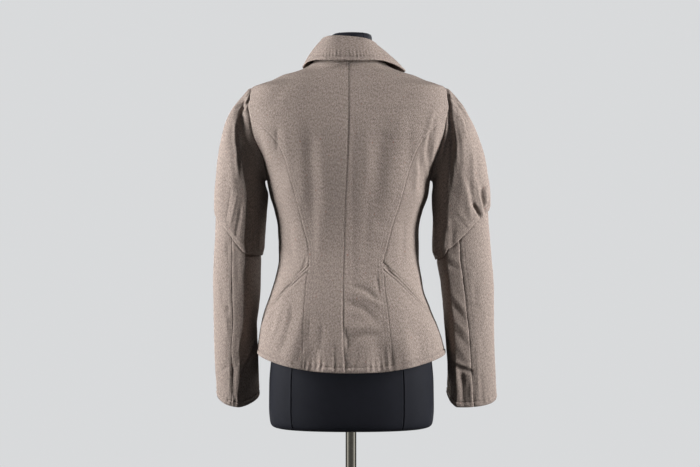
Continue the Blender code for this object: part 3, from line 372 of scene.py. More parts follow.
# How strongly the floor shows in mirrors
MIRRORED = 0.17
CREASE_WANDER = 0.0013
CREASE_FADE = 0.25
BACK_CREASES = (
    # x_low, z_low, x_high, z_high, bow, half_left, half_right, height
    (-146, 959, -96, 1020, 0, 2.7, 2.7, -0.9),
    (-170, 906, -137, 971, 0, 3.1, 3.1, -0.7),
    (-137, 951, -94, 1006, 0, 3.3, 3.3, 0.8),
    (2, 869, 3, 1340, 0, 3.1, 10.2, -0.8),
    (-22, 819, -23, 955, 0, 7.2, 6.1, 0.9),
    (6, 979, 49, 955, -4.1, 5.7, 6.6, -3.8),
    (53, 1000, 57, 965, 0, 3.3, 4.5, -1.3),
    (12, 963, 61, 940, -2, 7.4, 7.4, 2.4),
    (-12, 946, 45, 916, -4.1, 7.8, 8.2, -3.4),
    (-2, 895, 51, 893, 2, 10.2, 10.2, 3.2),
    (-8, 854, -10, 891, 0, 5.3, 6.6, -3),
    (-4, 862, 51, 881, -6.1, 8.6, 8.6, -3.6),
    (10, 819, 10, 848, 0, 7, 7, 1.2),
    (-37, 809, -32, 860, 0, 3.7, 4.9, -1.7),
    (-8, 813, -9, 844, 0, 3.5, 4.5, -1.5),
    (14, 815, 16, 854, 0, 3.9, 4.9, -1.4),
    (27, 811, 28, 844, 0, 3.7, 4.1, -0.9),
    (68, 815, 66, 856, 0, 3.9, 4.9, -0.8),
    (84, 811, 80, 848, 1, 3.9, 4.9, -1.4),
    (105, 813, 102, 844, 0, 3.7, 4.9, -1),
    (-105, 824, -104, 854, 0, 3.9, 4.9, -1.1),
    (-86, 869, -86, 910, 0, 5.7, 7, -0.7),
    (-61, 844, -60, 901, 0, 5.3, 7, -0.9),
    (-72, 813, -70, 848, 0, 3.7, 4.5, -0.8),
    (-51, 809, -49, 844, 0, 3.7, 4.5, -0.8),
    (-146, 844, -121, 934, 4.1, 4.5, 8.2, -2.3),
    (-129, 858, -111, 926, 2, 4.5, 6.1, -1.4),
    (-166, 873, -139, 951, 4.1, 6.1, 6.1, 1.5),
    (-154, 858, -129, 944, 4.1, 4.9, 4.9, 1.2),
    (-176, 860, -158, 914, 2, 4.5, 4.9, -1.2),
    (100, 873, 102, 906, 0, 16.4, 16.4, -1.8),
    (144, 848, 139, 883, 0, 3.3, 3.3, -0.8),
    (156, 844, 151, 879, 0, 3.3, 3.3, -0.9),
    (167, 844, 162, 883, 0, 3.3, 3.7, -0.9),
    (129, 858, 119, 914, 0, 6.1, 7.4, -1),
    (-86, 1424, -12, 1434, 1.2, 2.3, 2.3, -1),
    (-16, 1434, 84, 1422, 1.2, 2.3, 2.3, -1),
    (-99, 1014, -91, 1039, 0, 2, 2.5, -1.7),
    (85, 1004, 65, 1028, 0, 2.3, 2.7, -2.4),
    (-182, 897, -105, 1004, 0, 4.1, 2.9, 0.9),
    (168, 906, 92, 992, 0, 2.9, 4.1, 0.9),
    (-152, 1258, -152, 1303, 0, 3.7, 4.9, -1.4),
    (-125, 1176, -135, 1295, 2, 8.2, 8.2, 1.1),
    (-90, 1063, -84, 1299, 2, 12.3, 14.3, -0.2),
    (-57, 1094, -68, 1320, 2, 12.3, 12.3, 0.3),
    (-29, 1258, -27, 1330, 0, 8.2, 8.2, 0.7),
    (-166, 1176, -174, 1258, 0, 5.3, 5.3, 1.2),
    (-162, 1361, -121, 1398, 0, 10.2, 10.2, -1.2),
    (-105, 1361, -68, 1393, 0, 8.2, 8.2, -0.7),
    (57, 1078, 51, 1299, -2, 13.3, 14.3, -0.3),
    (31, 1217, 31, 1309, 0, 8.2, 8.2, 0.7),
    (150, 1262, 168, 1336, -2, 3.7, 4.9, 1.8),
    (157, 1197, 147, 1258, 0, 4.5, 5.3, 2.2),
    (162, 1225, 172, 1283, 0, 3.7, 3.7, 1.8),
    (132, 1172, 135, 1225, 0, 4.9, 5.7, 1.8),
    (142, 1184, 141, 1238, 0, 3.7, 3.7, -1.8),
    (154, 1246, 162, 1295, 0, 3.1, 3.1, -1.7),
    (168, 1295, 171, 1324, 0, 2.3, 2.7, -1.6),
    (184, 1316, 189, 1344, 0, 2.3, 2.7, -1.4),
    (117, 1176, 121, 1330, 0, 10.2, 10.2, -0.9),
    (100, 1365, 137, 1389, 0, 10.2, 10.2, -0.8),
    (-43, 1028, -39, 1145, 0, 10.2, 10.2, -0.9),
    (-64, 1043, -70, 1145, 0, 7.2, 7.2, 0.8),
    (31, 1028, 35, 1166, 0, 8.2, 8.2, -0.8),
    (-121, 1028, -125, 1104, 0, 4.9, 6.1, -1.1),
    (105, 1028, 109, 1110, 0, 6.1, 4.9, -1.1),
)
SLEEVE_CREASES = {
    -1: (
        # x_low, z_low, x_high, z_high, bow, half_left, half_right, height
        (-231, 1213, -239, 1307, 0, 4.5, 3.3, 2.4),
        (-239, 1299, -219, 1365, -1, 4.1, 3.3, 2.2),
        (-227, 1342, -203, 1379, 1, 1.6, 1.6, 1.4),
        (-222, 1338, -201, 1377, 0, 2, 2.5, -1.8),
        (-234, 1295, -219, 1350, -2, 2.9, 2.9, 1.2),
        (-242, 1166, -244, 1258, 0, 8.2, 8.2, 0.9),
        (-258, 1125, -256, 1258, 0, 8.2, 8.2, -0.8),
        (-256, 1110, -246, 1176, 0, 3.3, 3.3, -1),
        (-248, 1102, -234, 1164, 0, 3.3, 3.3, 1),
        (-236, 1078, -225, 1145, 0, 3.7, 4.1, -1.2),
        (-254, 1092, -258, 1115, 0, 2.9, 2.9, 1),
        (-213, 1049, -213, 1090, 0, 1.8, 2.3, -2.2),
        (-206, 1047, -207, 1098, 0, 1.8, 2.3, -2.4),
        (-199, 1045, -201, 1086, 0, 1.8, 2.3, -2.2),
        (-191, 1045, -192, 1094, 0, 1.8, 2.3, -2.4),
        (-209, 1053, -210, 1102, 0, 1.8, 1.8, 1.4),
        (-195, 1049, -196, 1094, 0, 1.8, 1.8, 1.4),
        (-253, 1039, -253, 1067, 0, 3.3, 3.3, -1.3),
        (-232, 981, -234, 1053, 0, 4.9, 4.9, -0.8),
        (-247, 926, -249, 988, 0, 3.3, 3.3, 0.8),
        (-252, 926, -251, 940, 0, 3.3, 3.3, -2),
        (-258, 910, -275, 979, 0, 3.3, 4.1, 0.9),
        (-264, 938, -264, 983, 0, 3.7, 3.7, -0.9),
        (-253, 881, -256, 914, 0, 3.3, 3.3, 1.5),
        (-231, 844, -228, 873, 0, 2.5, 2.5, 1.3),
        (-227, 803, -195, 873, 0, 2.7, 2.7, 2),
        (-218, 770, -193, 805, 0, 2.7, 2.7, 2),
        (-221, 803, -193, 852, 0, 3.1, 3.1, -1.8),
        (-273, 801, -252, 815, 0, 3.1, 3.7, -1.6),
        (-271, 785, -254, 774, 0, 3.1, 3.1, -1.3),
        (-249, 760, -250, 828, 0, 2.7, 2.7, 1.4),
        (-240, 752, -242, 819, 0, 2.5, 2.9, -1.5),
        (-232, 799, -227, 826, 0, 2.3, 2.3, 1.4),
        (-264, 742, -264, 770, 0, 5.1, 5.1, -1.2),
    ),
    1: (
        (203, 1197, 198, 1373, 4.1, 3.1, 3.5, -3.2),
        (217, 1238, 204, 1348, 3.3, 4.5, 5.3, 3),
        (184, 1234, 197, 1336, 2, 3.5, 3.9, 3.4),
        (228, 1258, 201, 1373, 4.1, 5.3, 5.3, 1.3),
        (244, 1285, 203, 1381, 4.1, 3.3, 4.5, -1.7),
        (252, 1285, 215, 1373, 4.1, 3.3, 3.3, 0.8),
        (225, 1156, 230, 1279, 0, 7, 7, 1),
        (243, 1156, 241, 1258, 0, 5.7, 5.7, -0.4),
        (252, 1172, 249, 1268, 0, 4.5, 4.5, 0.8),
        (264, 1156, 258, 1258, 0, 5.3, 5.3, -1.1),
        (265, 1119, 252, 1147, 0, 3.1, 3.5, -6.5),
        (252, 1139, 244, 1192, 0, 4.9, 5.7, -1.6),
        (276, 1131, 269, 1180, -0.8, 3.1, 3.7, -6.5),
        (276, 1131, 285, 1152, 0, 3.3, 3.3, -6),
        (269, 1129, 258, 1192, 0, 3.3, 3.3, 1.6),
        (279, 1143, 277, 1186, 0, 2.7, 2.7, 1.4),
        (246, 1121, 230, 1197, 2, 7, 4.1, 1.6),
        (207, 1059, 208, 1092, 0, 5.7, 6.6, -1.6),
        (198, 1094, 200, 1117, 0, 4.1, 4.1, 1.3),
        (244, 1090, 213, 1127, 0, 3.7, 3.7, -0.3),
        (240, 1102, 215, 1139, 0, 3.7, 3.7, 0.4),
        (195, 1025, 223, 1016, 0, 3.1, 3.5, -2),
        (201, 1039, 217, 1033, 0, 4.9, 4.9, 1.4),
        (236, 1037, 246, 1008, 0, 3.3, 3.3, -1),
        (240, 1020, 252, 996, 0, 3.3, 3.3, 1),
        (236, 926, 205, 965, 0, 4.9, 4.9, 1.5),
        (232, 912, 207, 940, 0, 4.9, 5.3, -1.7),
        (238, 881, 211, 908, 0, 4.5, 4.5, 1.4),
        (240, 856, 213, 885, 0, 4.5, 5.3, -1.6),
        (240, 826, 215, 858, 0, 5.3, 5.3, 1),
        (277, 924, 258, 953, 0, 3.3, 3.3, 0.8),
        (266, 877, 277, 924, 0, 2.9, 2.9, 0.8),
        (275, 844, 266, 877, 0, 3.3, 3.3, -0.9),
        (256, 951, 252, 983, 0, 3.3, 3.3, -1),
        (246, 811, 211, 826, 0, 2.7, 2.7, 2.2),
        (248, 801, 213, 815, 0, 3.3, 3.9, -3),
        (230, 739, 225, 805, 2, 4.1, 4.9, -3.4),
        (219, 750, 215, 807, 0, 2.7, 2.7, 1.5),
        (238, 739, 240, 778, 0, 2.7, 3.1, -1.8),
        (246, 742, 244, 795, 0, 2.5, 2.5, 1),
        (254, 739, 252, 791, 0, 2.5, 2.9, -1.3),
        (260, 742, 258, 848, 0, 2.9, 2.9, 0.8),
        (269, 737, 265, 799, 0, 2.7, 3.1, -1.1),
    ),
}
FRONT_CREASES = (
    # x_low, z_low, x_high, z_high, bow, half_left, half_right, height
    (-90, 840, -80, 950, 4, 8, 12, -2.5),
    (92, 842, 82, 940, 4, 10, 10, -2.5),
)

# Distances of the stitched lines from the edge they follow
STITCH_LINES = {
    "stitched": (0.0055, 0.0115),
    "hip": (0.0055, 0.0115),
    "hem": (0.0100,),
    "collar": (0.0070,),
}

SEAM_RELIEFS = {
    # groove_depth, groove_half_width, pucker_height, pucker_reach, line_depth, line_half_width
    "seam": (0.0004, 0.0018, 0.00022, 0.008, 0.0, 0.0013),
    "centre": (0.0013, 0.0012, 0.00020, 0.008, 0.0, 0.0013),
    "stitched": (0.0001, 0.0016, 0.00045, 0.014, 0.0003, 0.0013),
    "hip": (0.0001, 0.0016, 0.00045, 0.014, 0.0019, 0.0013),
}
# How far along a stitch each ring of its thread lies, how high and how wide, in thread radii
STITCH_SHAPE = ((0, -1.2, 0.5), (0.18, 0.1, 0.95), (0.5, 0.45, 1.0), (0.82, 0.1, 0.95), (1, -1.2, 0.5))
CENTRE_ROLL = 0.0004
HEM_ROLL = 0.0010
HEM_RIB = 0.0125
HEM_RIB_HEIGHT = 0.0008

# Rows and columns of each panel's grid
LONG_ROWS = 76
HEM_ROWS = 14
HIP_ROWS = 10
PRINCESS_ROWS = 92
ARM_ROWS = 36
SIDE_COLUMNS = 40
NECK_COLUMNS = 26
SHOULDER_COLUMNS = 36
SLEEVE_AROUND = 66
HEAD_ROWS = 75
ARM_LENGTH_ROWS = 45
# Where the upper sleeve starts to ease on to the lower one, as a share of its length below the head
EDGE_SHARE = 0.88
FORM_AROUND = 160
# Roll and groove of a sewn line of the form's cover: heights in metres, half widths in degrees
FORM_ROLL, FORM_ROLL_TURN = 0.0006, 1.6
FORM_GROOVE, FORM_GROOVE_TURN = 0.0030, 0.32
# The sewn lines, by their x at one height and the face that they are on
FORM_SEAMS_Z = 0.780
FORM_SEAMS = ((-0.1195, -1), (0.1055, -1), (-0.100, 1), (0.100, 1), (0.0, 1))


def smooth(rows):
    """Monotone cubic curves through a table whose first column is the place."""
    table = np.array(rows, float)
    place, value = table[:, 0], table[:, 1:]
    slope = np.diff(value, axis=0) / np.diff(place)[:, None]
    total = slope[:-1] + slope[1:]
    product = slope[:-1] * slope[1:]
    between = np.where(product > 0, 2 * product / np.where(total == 0, 1, total), 0)
    slopes = np.vstack([slope[:1], between, slope[-1:]])

    def at(where):
        where = np.clip(np.asarray(where, float), place[0], place[-1])
        k = np.clip(np.searchsorted(place, where, side="right") - 1, 0, len(place) - 2)
        length = (place[k + 1] - place[k])[..., None]
        u = (where - place[k])[..., None] / length
        return (
            (2 * u**3 - 3 * u**2 + 1) * value[k]
            + (u**3 - 2 * u**2 + u) * length * slopes[k]
            + (3 * u**2 - 2 * u**3) * value[k + 1]
            + (u**3 - u**2) * length * slopes[k + 1]
        )

    return at


def columns(at, where):
    return np.moveaxis(at(where), -1, 0)


def unit(vectors):
    return vectors / np.maximum(np.linalg.norm(vectors, axis=-1, keepdims=True), 1e-12)


def power_of(value, exponent):
    return np.sign(value) * np.abs(value) ** exponent


def bump(value, middle, half_width):
    return np.exp(-(((value - middle) / half_width) ** 2))


def eased(value, low, high):
    share = np.clip((value - low) / (high - low), 0, 1)
    return share * share * (3 - 2 * share)


def drift(point, size, seed):
    """Smooth unevenness from -1 to 1 that changes over a distance of about size."""
    place = point / size + seed * np.array([3.17, 7.71, 5.43])
    low = np.floor(place)
    share = place - low
    share = share * share * (3 - 2 * share)
    total = 0
    for corner in range(8):
        step = np.array([corner & 1, corner >> 1 & 1, corner >> 2 & 1])
        mixed = ((low + step) * np.array([12.9898, 78.233, 37.719])).sum(-1)
        value = np.sin(mixed + seed * 4.13) * 43758.5453
        value = 2 * (value - np.floor(value)) - 1
        total = total + value * np.where(step, share, 1 - share).prod(-1)
    return total


body_ring = smooth(BODY_RINGS)
back_seam = smooth(BACK_SEAMS)
front_seam = smooth(FRONT_SEAMS)
collar_station = smooth(COLLAR_STATIONS)


def oval(ring, turn, side=1):
    """x and y of a point of a level ring: its centre, half width, depths to the back and front, and power."""
    centre, half, back, front, power = ring
    cos, sin = np.cos(np.radians(turn)), np.sin(np.radians(turn))
    x = centre + side * half * power_of(cos, 2 / power)
    return x, np.where(sin < 0, back, front) * power_of(sin, 2 / power)


def turn_in(ring, x, face, side=1):
    """The turn of a point of a ring that is given by its x; face is -1 on the back and 1 on the front."""
    centre, half, _, _, power = ring
    cos = np.clip(side * (x - centre) / half, -1, 1)
    return face * np.degrees(np.arccos(power_of(cos, power / 2)))


def body(side, turn, z):
    """A point on the outer face of the jacket's body, without its folds."""
    turn, z = np.broadcast_arrays(np.asarray(turn, float), np.asarray(z, float))
    return np.stack([*oval(columns(body_ring, z), turn, side), z], -1)


def body_normal(side, turn, z):
    across = body(side, turn + 0.4, z) - body(side, turn - 0.4, z)
    up = body(side, turn, z + 0.001) - body(side, turn, z - 0.001)
    return unit(side * np.cross(across, up))


def folds(point):
    """How far the soft folds lift the cloth at a point."""
    x, y, z = point[..., 0], point[..., 1], point[..., 2]
    total = np.zeros(x.shape)
    for face, x_low, z_low, x_high, z_high, half, height in BODY_FOLDS:
        share = np.clip((z - z_low) / (z_high - z_low), -0.5, 1.5)
        line = x_low + (x_high - x_low) * share
        ends = 1 / (1 + np.exp((z - z_high) / 0.012))
        if z_low > 0.85:
            ends = ends / (1 + np.exp((z_low - z) / 0.012))
        total += height * bump(x, line, half) * ends * (y * face > 0)
    return total * np.clip(np.abs(y) / 0.03, 0, 1)


def cloth(side, turn, z):
    """A point of the folded body and the way out of it."""
    point, normal = body(side, turn, z), body_normal(side, turn, z)
    return point + normal * folds(point)[..., None], normal


def creases(point, normal, rows, face):
    """How far a table of creases lifts the cloth that faces the back (-1) or the front (1)."""
    scale = VIEW_DISTANCE / (VIEW_DISTANCE - face * point[..., 1])
    x = VIEW_X + (point[..., 0] - VIEW_X) * scale
    z = VIEW_Z + (point[..., 2] - VIEW_Z) * scale
    x = x + CREASE_WANDER * drift(point, 0.022, 5)
    z = z + CREASE_WANDER * drift(point, 0.022, 6)
    total = np.zeros(x.shape)
    for x_low, z_low, x_high, z_high, bow, half_left, half_right, height in np.array(rows) / 1000:
        run = math.hypot(x_high - x_low, z_high - z_low)
        along_x, along_z = (x_high - x_low) / run, (z_high - z_low) / run
        share = ((x - x_low) * along_x + (z - z_low) * along_z) / run
        off = (x - x_low) * along_z - (z - z_low) * along_x
        off = off - bow * 4 * share * (1 - share)
        half = np.where(off < 0, half_left, half_right)
        ends = eased(share, -CREASE_FADE, CREASE_FADE)
        ends = ends * (1 - eased(share, 1 - CREASE_FADE, 1 + CREASE_FADE))
        total += height * np.exp(-((off / half) ** 2)) * ends
    return total * eased(normal[..., 1] * face, 0.05, 0.35)


def turn_at(side, x, z, face):
    return turn_in(columns(body_ring, z), x, face, side)


def hem_z(turn):
    turn = np.asarray(turn, float)
    dip = np.where(turn < 0, HEM_DIP_BACK, HEM_DIP_FRONT)
    return HEM_SIDE_Z - dip * np.sin(np.radians(turn)) ** 2


def armhole(round_it, face):
    """Turn and height of a point of the armhole: 0 round it is the underarm and 180 the shoulder tip."""
    angle = np.radians(np.asarray(round_it, float))
    z = ARMHOLE_MIDDLE_Z - ARMHOLE_HALF_HEIGHT * np.cos(angle)
    if face < 0:
        power = np.where(angle < math.pi / 2, 1.5, 1.0)
        turn = -ARMHOLE_TURN_BACK * np.abs(np.sin(angle)) ** power
    else:
        turn = ARMHOLE_TURN_FRONT * np.abs(np.sin(angle))
    return np.stack([turn, z], -1)


def run_of(points):
    """How far along a row of points each one lies."""
    return np.concatenate([[0], np.cumsum(np.linalg.norm(np.diff(points, axis=0), axis=1))])


def sampled(where, places, points):
    """Points at given places of a row of points, straight between its own ones."""
    return np.stack([np.interp(where, places, column) for column in points.T], -1)


def spaced(side, curve, parts):
    """Parts + 1 places of a curve, evenly apart along the cloth."""
    run = run_of(body(side, curve[:, 0], curve[:, 1]))
    return sampled(np.linspace(0, run[-1], parts + 1), run, curve)


def from_hem(side, curve, parts, hip_rows=0):
    """As spaced, for a curve that starts at the hem, with close rows beside its stitching and the hip's."""
    run = run_of(body(side, curve[:, 0], curve[:, 1]))
    end = run[-1] - 0.016 * (hip_rows > 0)
    low, high = np.linspace(0, 0.020, HEM_ROWS + 1), np.linspace(end, run[-1], hip_rows + 1)
    want = np.concatenate([low[:-1], np.linspace(0.020, end, parts - HEM_ROWS - hip_rows + 1)[:-1], high])
    return sampled(want, run, curve)


def seam_curve(side, face, x_of, low, high):
    z = np.linspace(low, high, 240)
    return np.stack([turn_at(side, x_of(z), z, face), z], -1)


def hem_height(side, face, x_of):
    z = 0.82
    for _ in range(8):
        z = float(hem_z(turn_at(side, x_of(z), z, face)))
    return z


def hem_curve(start, end, parts):
    turn = np.linspace(start[0], end[0], parts + 1)
    return np.stack([turn, hem_z(turn)], -1)


def straight(start, end, parts):
    share = np.linspace(0, 1, parts + 1)[:, None]
    return (1 - share) * np.array(start) + share * np.array(end)


def seams_of(side):
    """Every seam of one side of the body, as rows of turn and height."""
    column = 1 if side < 0 else 2

    def centre(z):
        return back_seam(z)[..., 0]

    def long_back(z):
        return back_seam(z)[..., column]

    def long_front(z):
        return side * front_seam(z)[..., 0]

    def opening(z):
        return np.full(np.shape(z), -side * FRONT_OVERLAP)

    seam = {}
    edge_z = {
        name: hem_height(side, face, x_of)
        for name, face, x_of in (
            ("centre", -1, centre),
            ("long_back", -1, long_back),
            ("long_front", 1, long_front),
            ("opening", 1, opening),
        )
    }
    whole = LONG_ROWS + PRINCESS_ROWS + ARM_ROWS
    seam["centre"] = from_hem(side, seam_curve(side, -1, centre, edge_z["centre"], NAPE_Z), whole)
    for name, face, x_of, join, end_z in (
        ("back", -1, long_back, ARMHOLE_JOIN_BACK, 1.305),
        ("front", 1, long_front, ARMHOLE_JOIN_FRONT, 1.272),
    ):
        below = seam_curve(side, face, x_of, edge_z["long_" + name], WAIST_Z)
        above = seam_curve(side, face, x_of, WAIST_Z, end_z)
        above = np.vstack([above, armhole(join, face)])
        seam["long_" + name] = from_hem(side, below, LONG_ROWS, HIP_ROWS)
        seam["princess_" + name] = spaced(side, above, PRINCESS_ROWS)
        seam["arm_low_" + name] = spaced(side, armhole(np.linspace(join, 0, 120), face), SIDE_COLUMNS)
        seam["arm_high_" + name] = spaced(side, armhole(np.linspace(join, 180, 120), face), ARM_ROWS)
        pivot = seam["princess_" + name][0]
        seam["hip_" + name] = spaced(side, straight(pivot, (0, HIP_SEAM_SIDE_Z), 80), SIDE_COLUMNS)
        seam["hem_hip_" + name] = hem_curve(seam["long_" + name][0], (0, HEM_SIDE_Z), SIDE_COLUMNS)
    seam["side_high"] = spaced(
        side, straight((0, HIP_SEAM_SIDE_Z), (0, UNDERARM_Z), 120), PRINCESS_ROWS
    )
    low_side = straight((0, HEM_SIDE_Z), (0, HIP_SEAM_SIDE_Z), 160)
    seam["side_low"] = from_hem(side, low_side, LONG_ROWS, HIP_ROWS)
    across = NECK_COLUMNS + SHOULDER_COLUMNS
    hem = hem_curve(seam["centre"][0], seam["long_back"][0], 240)
    seam["hem_back"] = spaced(side, hem, across)
    tip = straight((0, NECK_SIDE_Z), (0, SHOULDER_TIP_Z), 160)
    seam["shoulder"] = spaced(side, tip, SHOULDER_COLUMNS)
    turn = np.linspace(seam["centre"][-1][0], 0, 80)
    height = NAPE_Z + (NECK_SIDE_Z - NAPE_Z) * np.cos(np.radians(turn)) ** 2
    height[0] = NAPE_Z
    seam["neck_back"] = spaced(side, np.stack([turn, height], -1), NECK_COLUMNS)
    places = np.linspace(0, 1, len(FRONT_NECK))
    x, z = sampled(np.linspace(0, 1, 40), places, np.array(FRONT_NECK)).T
    front = np.stack([turn_at(side, -0.005 + side * x, z, 1), z], -1)
    front = np.vstack([[0, NECK_SIDE_Z], front[::-1]])
    end = [float(turn_at(side, opening(0.0), 1.372, 1)), 1.372]
    seam["neck_front"] = spaced(side, np.vstack([front, end]), NECK_COLUMNS + 1)
    seam["opening"] = from_hem(
        side, np.vstack([seam_curve(side, 1, opening, edge_z["opening"], 1.371), end]), whole
    )
    half = 0.5 * (seam["long_front"][0][1] + seam["opening"][0][1])
    x = 0.5 * (long_front(half) + opening(half))
    parting = [float(turn_at(side, x, half, 1)), half]
    seam["hem_front"] = np.vstack(
        [
            hem_curve(seam["long_front"][0], parting, SHOULDER_COLUMNS),
            hem_curve(parting, seam["opening"][0], NECK_COLUMNS + 1)[1:],
        ]
    )
    return seam


def patch(side, left, right, bottom, top, face=0):
    """A grid of places between four seams that meet at their ends, spread by x on a wide face."""

    def share(curve):
        run = run_of(body(side, curve[:, 0], curve[:, 1]))
        return run / run[-1]

    def spread(curve):
        if not face:
            return curve
        return np.stack([body(side, curve[:, 0], curve[:, 1])[:, 0], curve[:, 1]], -1)

    v = 0.5 * (share(left) + share(right))[:, None, None]
    u = 0.5 * (share(bottom) + share(top))[None, :, None]
    edges = left, right, bottom, top
    left, right, bottom, top = (spread(curve) for curve in edges)
    ease = 3 if face else 1
    across = (1 - u) * left[:, None] + u * right[:, None]
    low_bend = bottom[None] - ((1 - u) * bottom[0] + u * bottom[-1])
    high_bend = top[None] - ((1 - u) * top[0] + u * top[-1])
    grid = across + (1 - v) ** ease * low_bend + v**ease * high_bend
    if face:
        grid[..., 0] = turn_at(side, grid[..., 0], grid[..., 1], face)
        grid[:, 0], grid[:, -1], grid[0], grid[-1] = edges
    return grid


def grid_normals(grid, closed_round):
    """Normals of a grid of points, on the side that a cross of its columns and rows points to."""
    if closed_round:
        across = np.roll(grid, -1, axis=1) - np.roll(grid, 1, axis=1)
    else:
        across = np.gradient(grid, axis=1)
    return unit(np.cross(across, np.gradient(grid, axis=0)))


def closed(grid):
    """A grid that runs all round, with its first column again at its end."""
    return np.concatenate([grid, grid[:, :1]], axis=1)


def quads(rows, cols, steps):
    """The four corners of each cell of a grid of points, for some of its columns or all round."""
    row, col = np.arange(rows - 1)[:, None], np.arange(steps)[None, :]
    then = (col + 1) % cols
    low, high = row * cols, (row + 1) * cols
    return np.stack([low + col, low + then, high + then, high + col], -1).reshape(-1, 4)


def runs(grid, closed_round=False):
    """How far each point of a grid lies along its row and up its column."""
    if closed_round:
        grid = closed(grid)
    across = np.linalg.norm(np.diff(grid, axis=1), axis=-1).cumsum(axis=1)
    up = np.linalg.norm(np.diff(grid, axis=0), axis=-1).cumsum(axis=0)
    across = np.concatenate([np.zeros((len(grid), 1)), across], axis=1)
    up = np.concatenate([np.zeros((1, grid.shape[1])), up], axis=0)
    return across, up


def pulled_in(grid, closed_round=False):
    """The grid with its edges drawn in by half of a seam's gap, square to each edge."""

    def step(edge, inside):
        way = unit(inside - edge)
        along = unit(np.gradient(edge, axis=0))
        square = np.linalg.norm(way - along * (way * along).sum(-1, keepdims=True), axis=-1)
        return way * (SEAM_HALF_GAP / np.clip(square, 0.4, 1))[:, None]

    out = grid.copy()
    out[0] += step(grid[0], grid[1])
    out[-1] += step(grid[-1], grid[-2])
    if not closed_round:
        out[:, 0] += step(grid[:, 0], grid[:, 1])
        out[:, -1] += step(grid[:, -1], grid[:, -2])
    return out


def wall(name, outer, inner, finish, closed_round=False, round_edge=0.0006):
    """A closed wall of cloth between two grids, with round edges and its grain as a UV map in metres."""
    outer, inner = pulled_in(outer, closed_round), pulled_in(inner, closed_round)
    rows, cols = outer.shape[:2]
    count = rows * cols
    steps = cols if closed_round else cols - 1
    across, up = runs(outer, closed_round)
    middle = across[:, across.shape[1] // 2][:, None]
    low = outer[0, :, 2]
    if closed_round:
        low = np.append(low, low[0])
    grain = np.stack([across - middle, up + low[None]], -1)

    index = quads(rows, cols, steps)
    corner = np.stack(
        [grain[:-1, :steps], grain[:-1, 1 : steps + 1], grain[1:, 1 : steps + 1], grain[1:, :steps]],
        2,
    ).reshape(-1, 4, 2)
    faces = [index, index[:, ::-1] + count]
    corners = [corner, corner[:, ::-1]]
    flat_out, flat_in = outer.reshape(-1, 3), inner.reshape(-1, 3)
    flat_grain = grain[:, :cols].reshape(-1, 2)
    points = [flat_out, flat_in]
    total = 2 * count

    first, last = np.arange(cols), (rows - 1) * cols + np.arange(cols)
    if closed_round:
        loops = [(first, first + cols), (last[::-1], last[::-1] - cols)]
    else:
        right = np.arange(1, rows - 1) * cols + cols - 1
        left = np.arange(rows - 2, 0, -1) * cols
        ring = np.concatenate([first, right, last[::-1], left])
        r, c = ring // cols, ring % cols
        inside = np.clip(r, 1, rows - 2) * cols + np.clip(c, 1, cols - 2)
        loops = [(ring, inside)]
    for ring, inside in loops:
        away = unit(flat_out[ring] - flat_out[inside])
        points.append(0.75 * flat_out[ring] + 0.25 * flat_in[ring] + away * round_edge)
        here = np.arange(len(ring))
        then = (here + 1) % len(ring)
        for near, far in (
            ((ring[here], ring[then]), (total + here, total + then)),
            ((total + here, total + then), (ring[here] + count, ring[then] + count)),
        ):
            faces.append(np.stack([near[1], near[0], far[0], far[1]], -1))
            edge = np.stack(
                [flat_grain[ring[k]] for k in (then, here, here, then)], 1
            )
            corners.append(edge)
        total += len(ring)
    return cloth_mesh(name, np.concatenate(points), np.concatenate(faces), np.concatenate(corners), finish)


def new_piece(name, mesh, finish):
    """A smooth piece of a mesh that rides on the one body."""
    mesh.polygons.foreach_set("use_smooth", np.ones(len(mesh.polygons), bool))
    mesh.materials.append(finish)
    piece = bpy.data.objects.new(name, mesh)
    bpy.context.scene.collection.objects.link(piece)
    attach(piece, "root")
    return piece


def cloth_mesh(name, points, faces, corners, finish):
    a, b, c, d = (points[faces[:, k]] for k in range(4))
    if ((np.cross(a, b) * c).sum() + (np.cross(a, c) * d).sum()) < 0:
        faces, corners = faces[:, ::-1], corners[:, ::-1] * np.array([-1, 1])
    mesh = bpy.data.meshes.new(name)
    mesh.vertices.add(len(points))
    mesh.vertices.foreach_set("co", np.ascontiguousarray(points, np.float32).ravel())
    mesh.loops.add(faces.size)
    mesh.loops.foreach_set("vertex_index", np.ascontiguousarray(faces, np.int32).ravel())
    mesh.polygons.add(len(faces))
    mesh.polygons.foreach_set("loop_start", np.arange(0, faces.size, faces.shape[1], dtype=np.int32))
    grain = mesh.uv_layers.new(name="grain")
    mesh.update(calc_edges=True)
    grain.data.foreach_set("uv", np.ascontiguousarray(corners, np.float32).ravel())
    mesh.validate()
    return new_piece(name, mesh, finish)


def beside(points, edge):
    """How far points lie from a seam, and how far along it their nearest place is."""
    start, way = edge[:-1], np.diff(edge, axis=0)
    length = np.maximum(np.linalg.norm(way, axis=1), 1e-9)
    run = run_of(edge)
    flat = points.reshape(-1, 3)
    away, along = np.empty(len(flat)), np.empty(len(flat))
    for low in range(0, len(flat), 4000):
        gap = flat[low : low + 4000, None] - start[None]
        share = np.clip((gap * way).sum(-1) / length**2, 0, 1)
        distance = np.linalg.norm(gap - share[..., None] * way, axis=-1)
        nearest = distance.argmin(axis=1)
        rows = np.arange(len(nearest))
        away[low : low + 4000] = distance[rows, nearest]
        along[low : low + 4000] = run[nearest] + share[rows, nearest] * length[nearest]
    return away.reshape(points.shape[:-1]), along.reshape(points.shape[:-1])


def edges_of(grid):
    return grid[:, 0], grid[:, -1], grid[0], grid[-1]


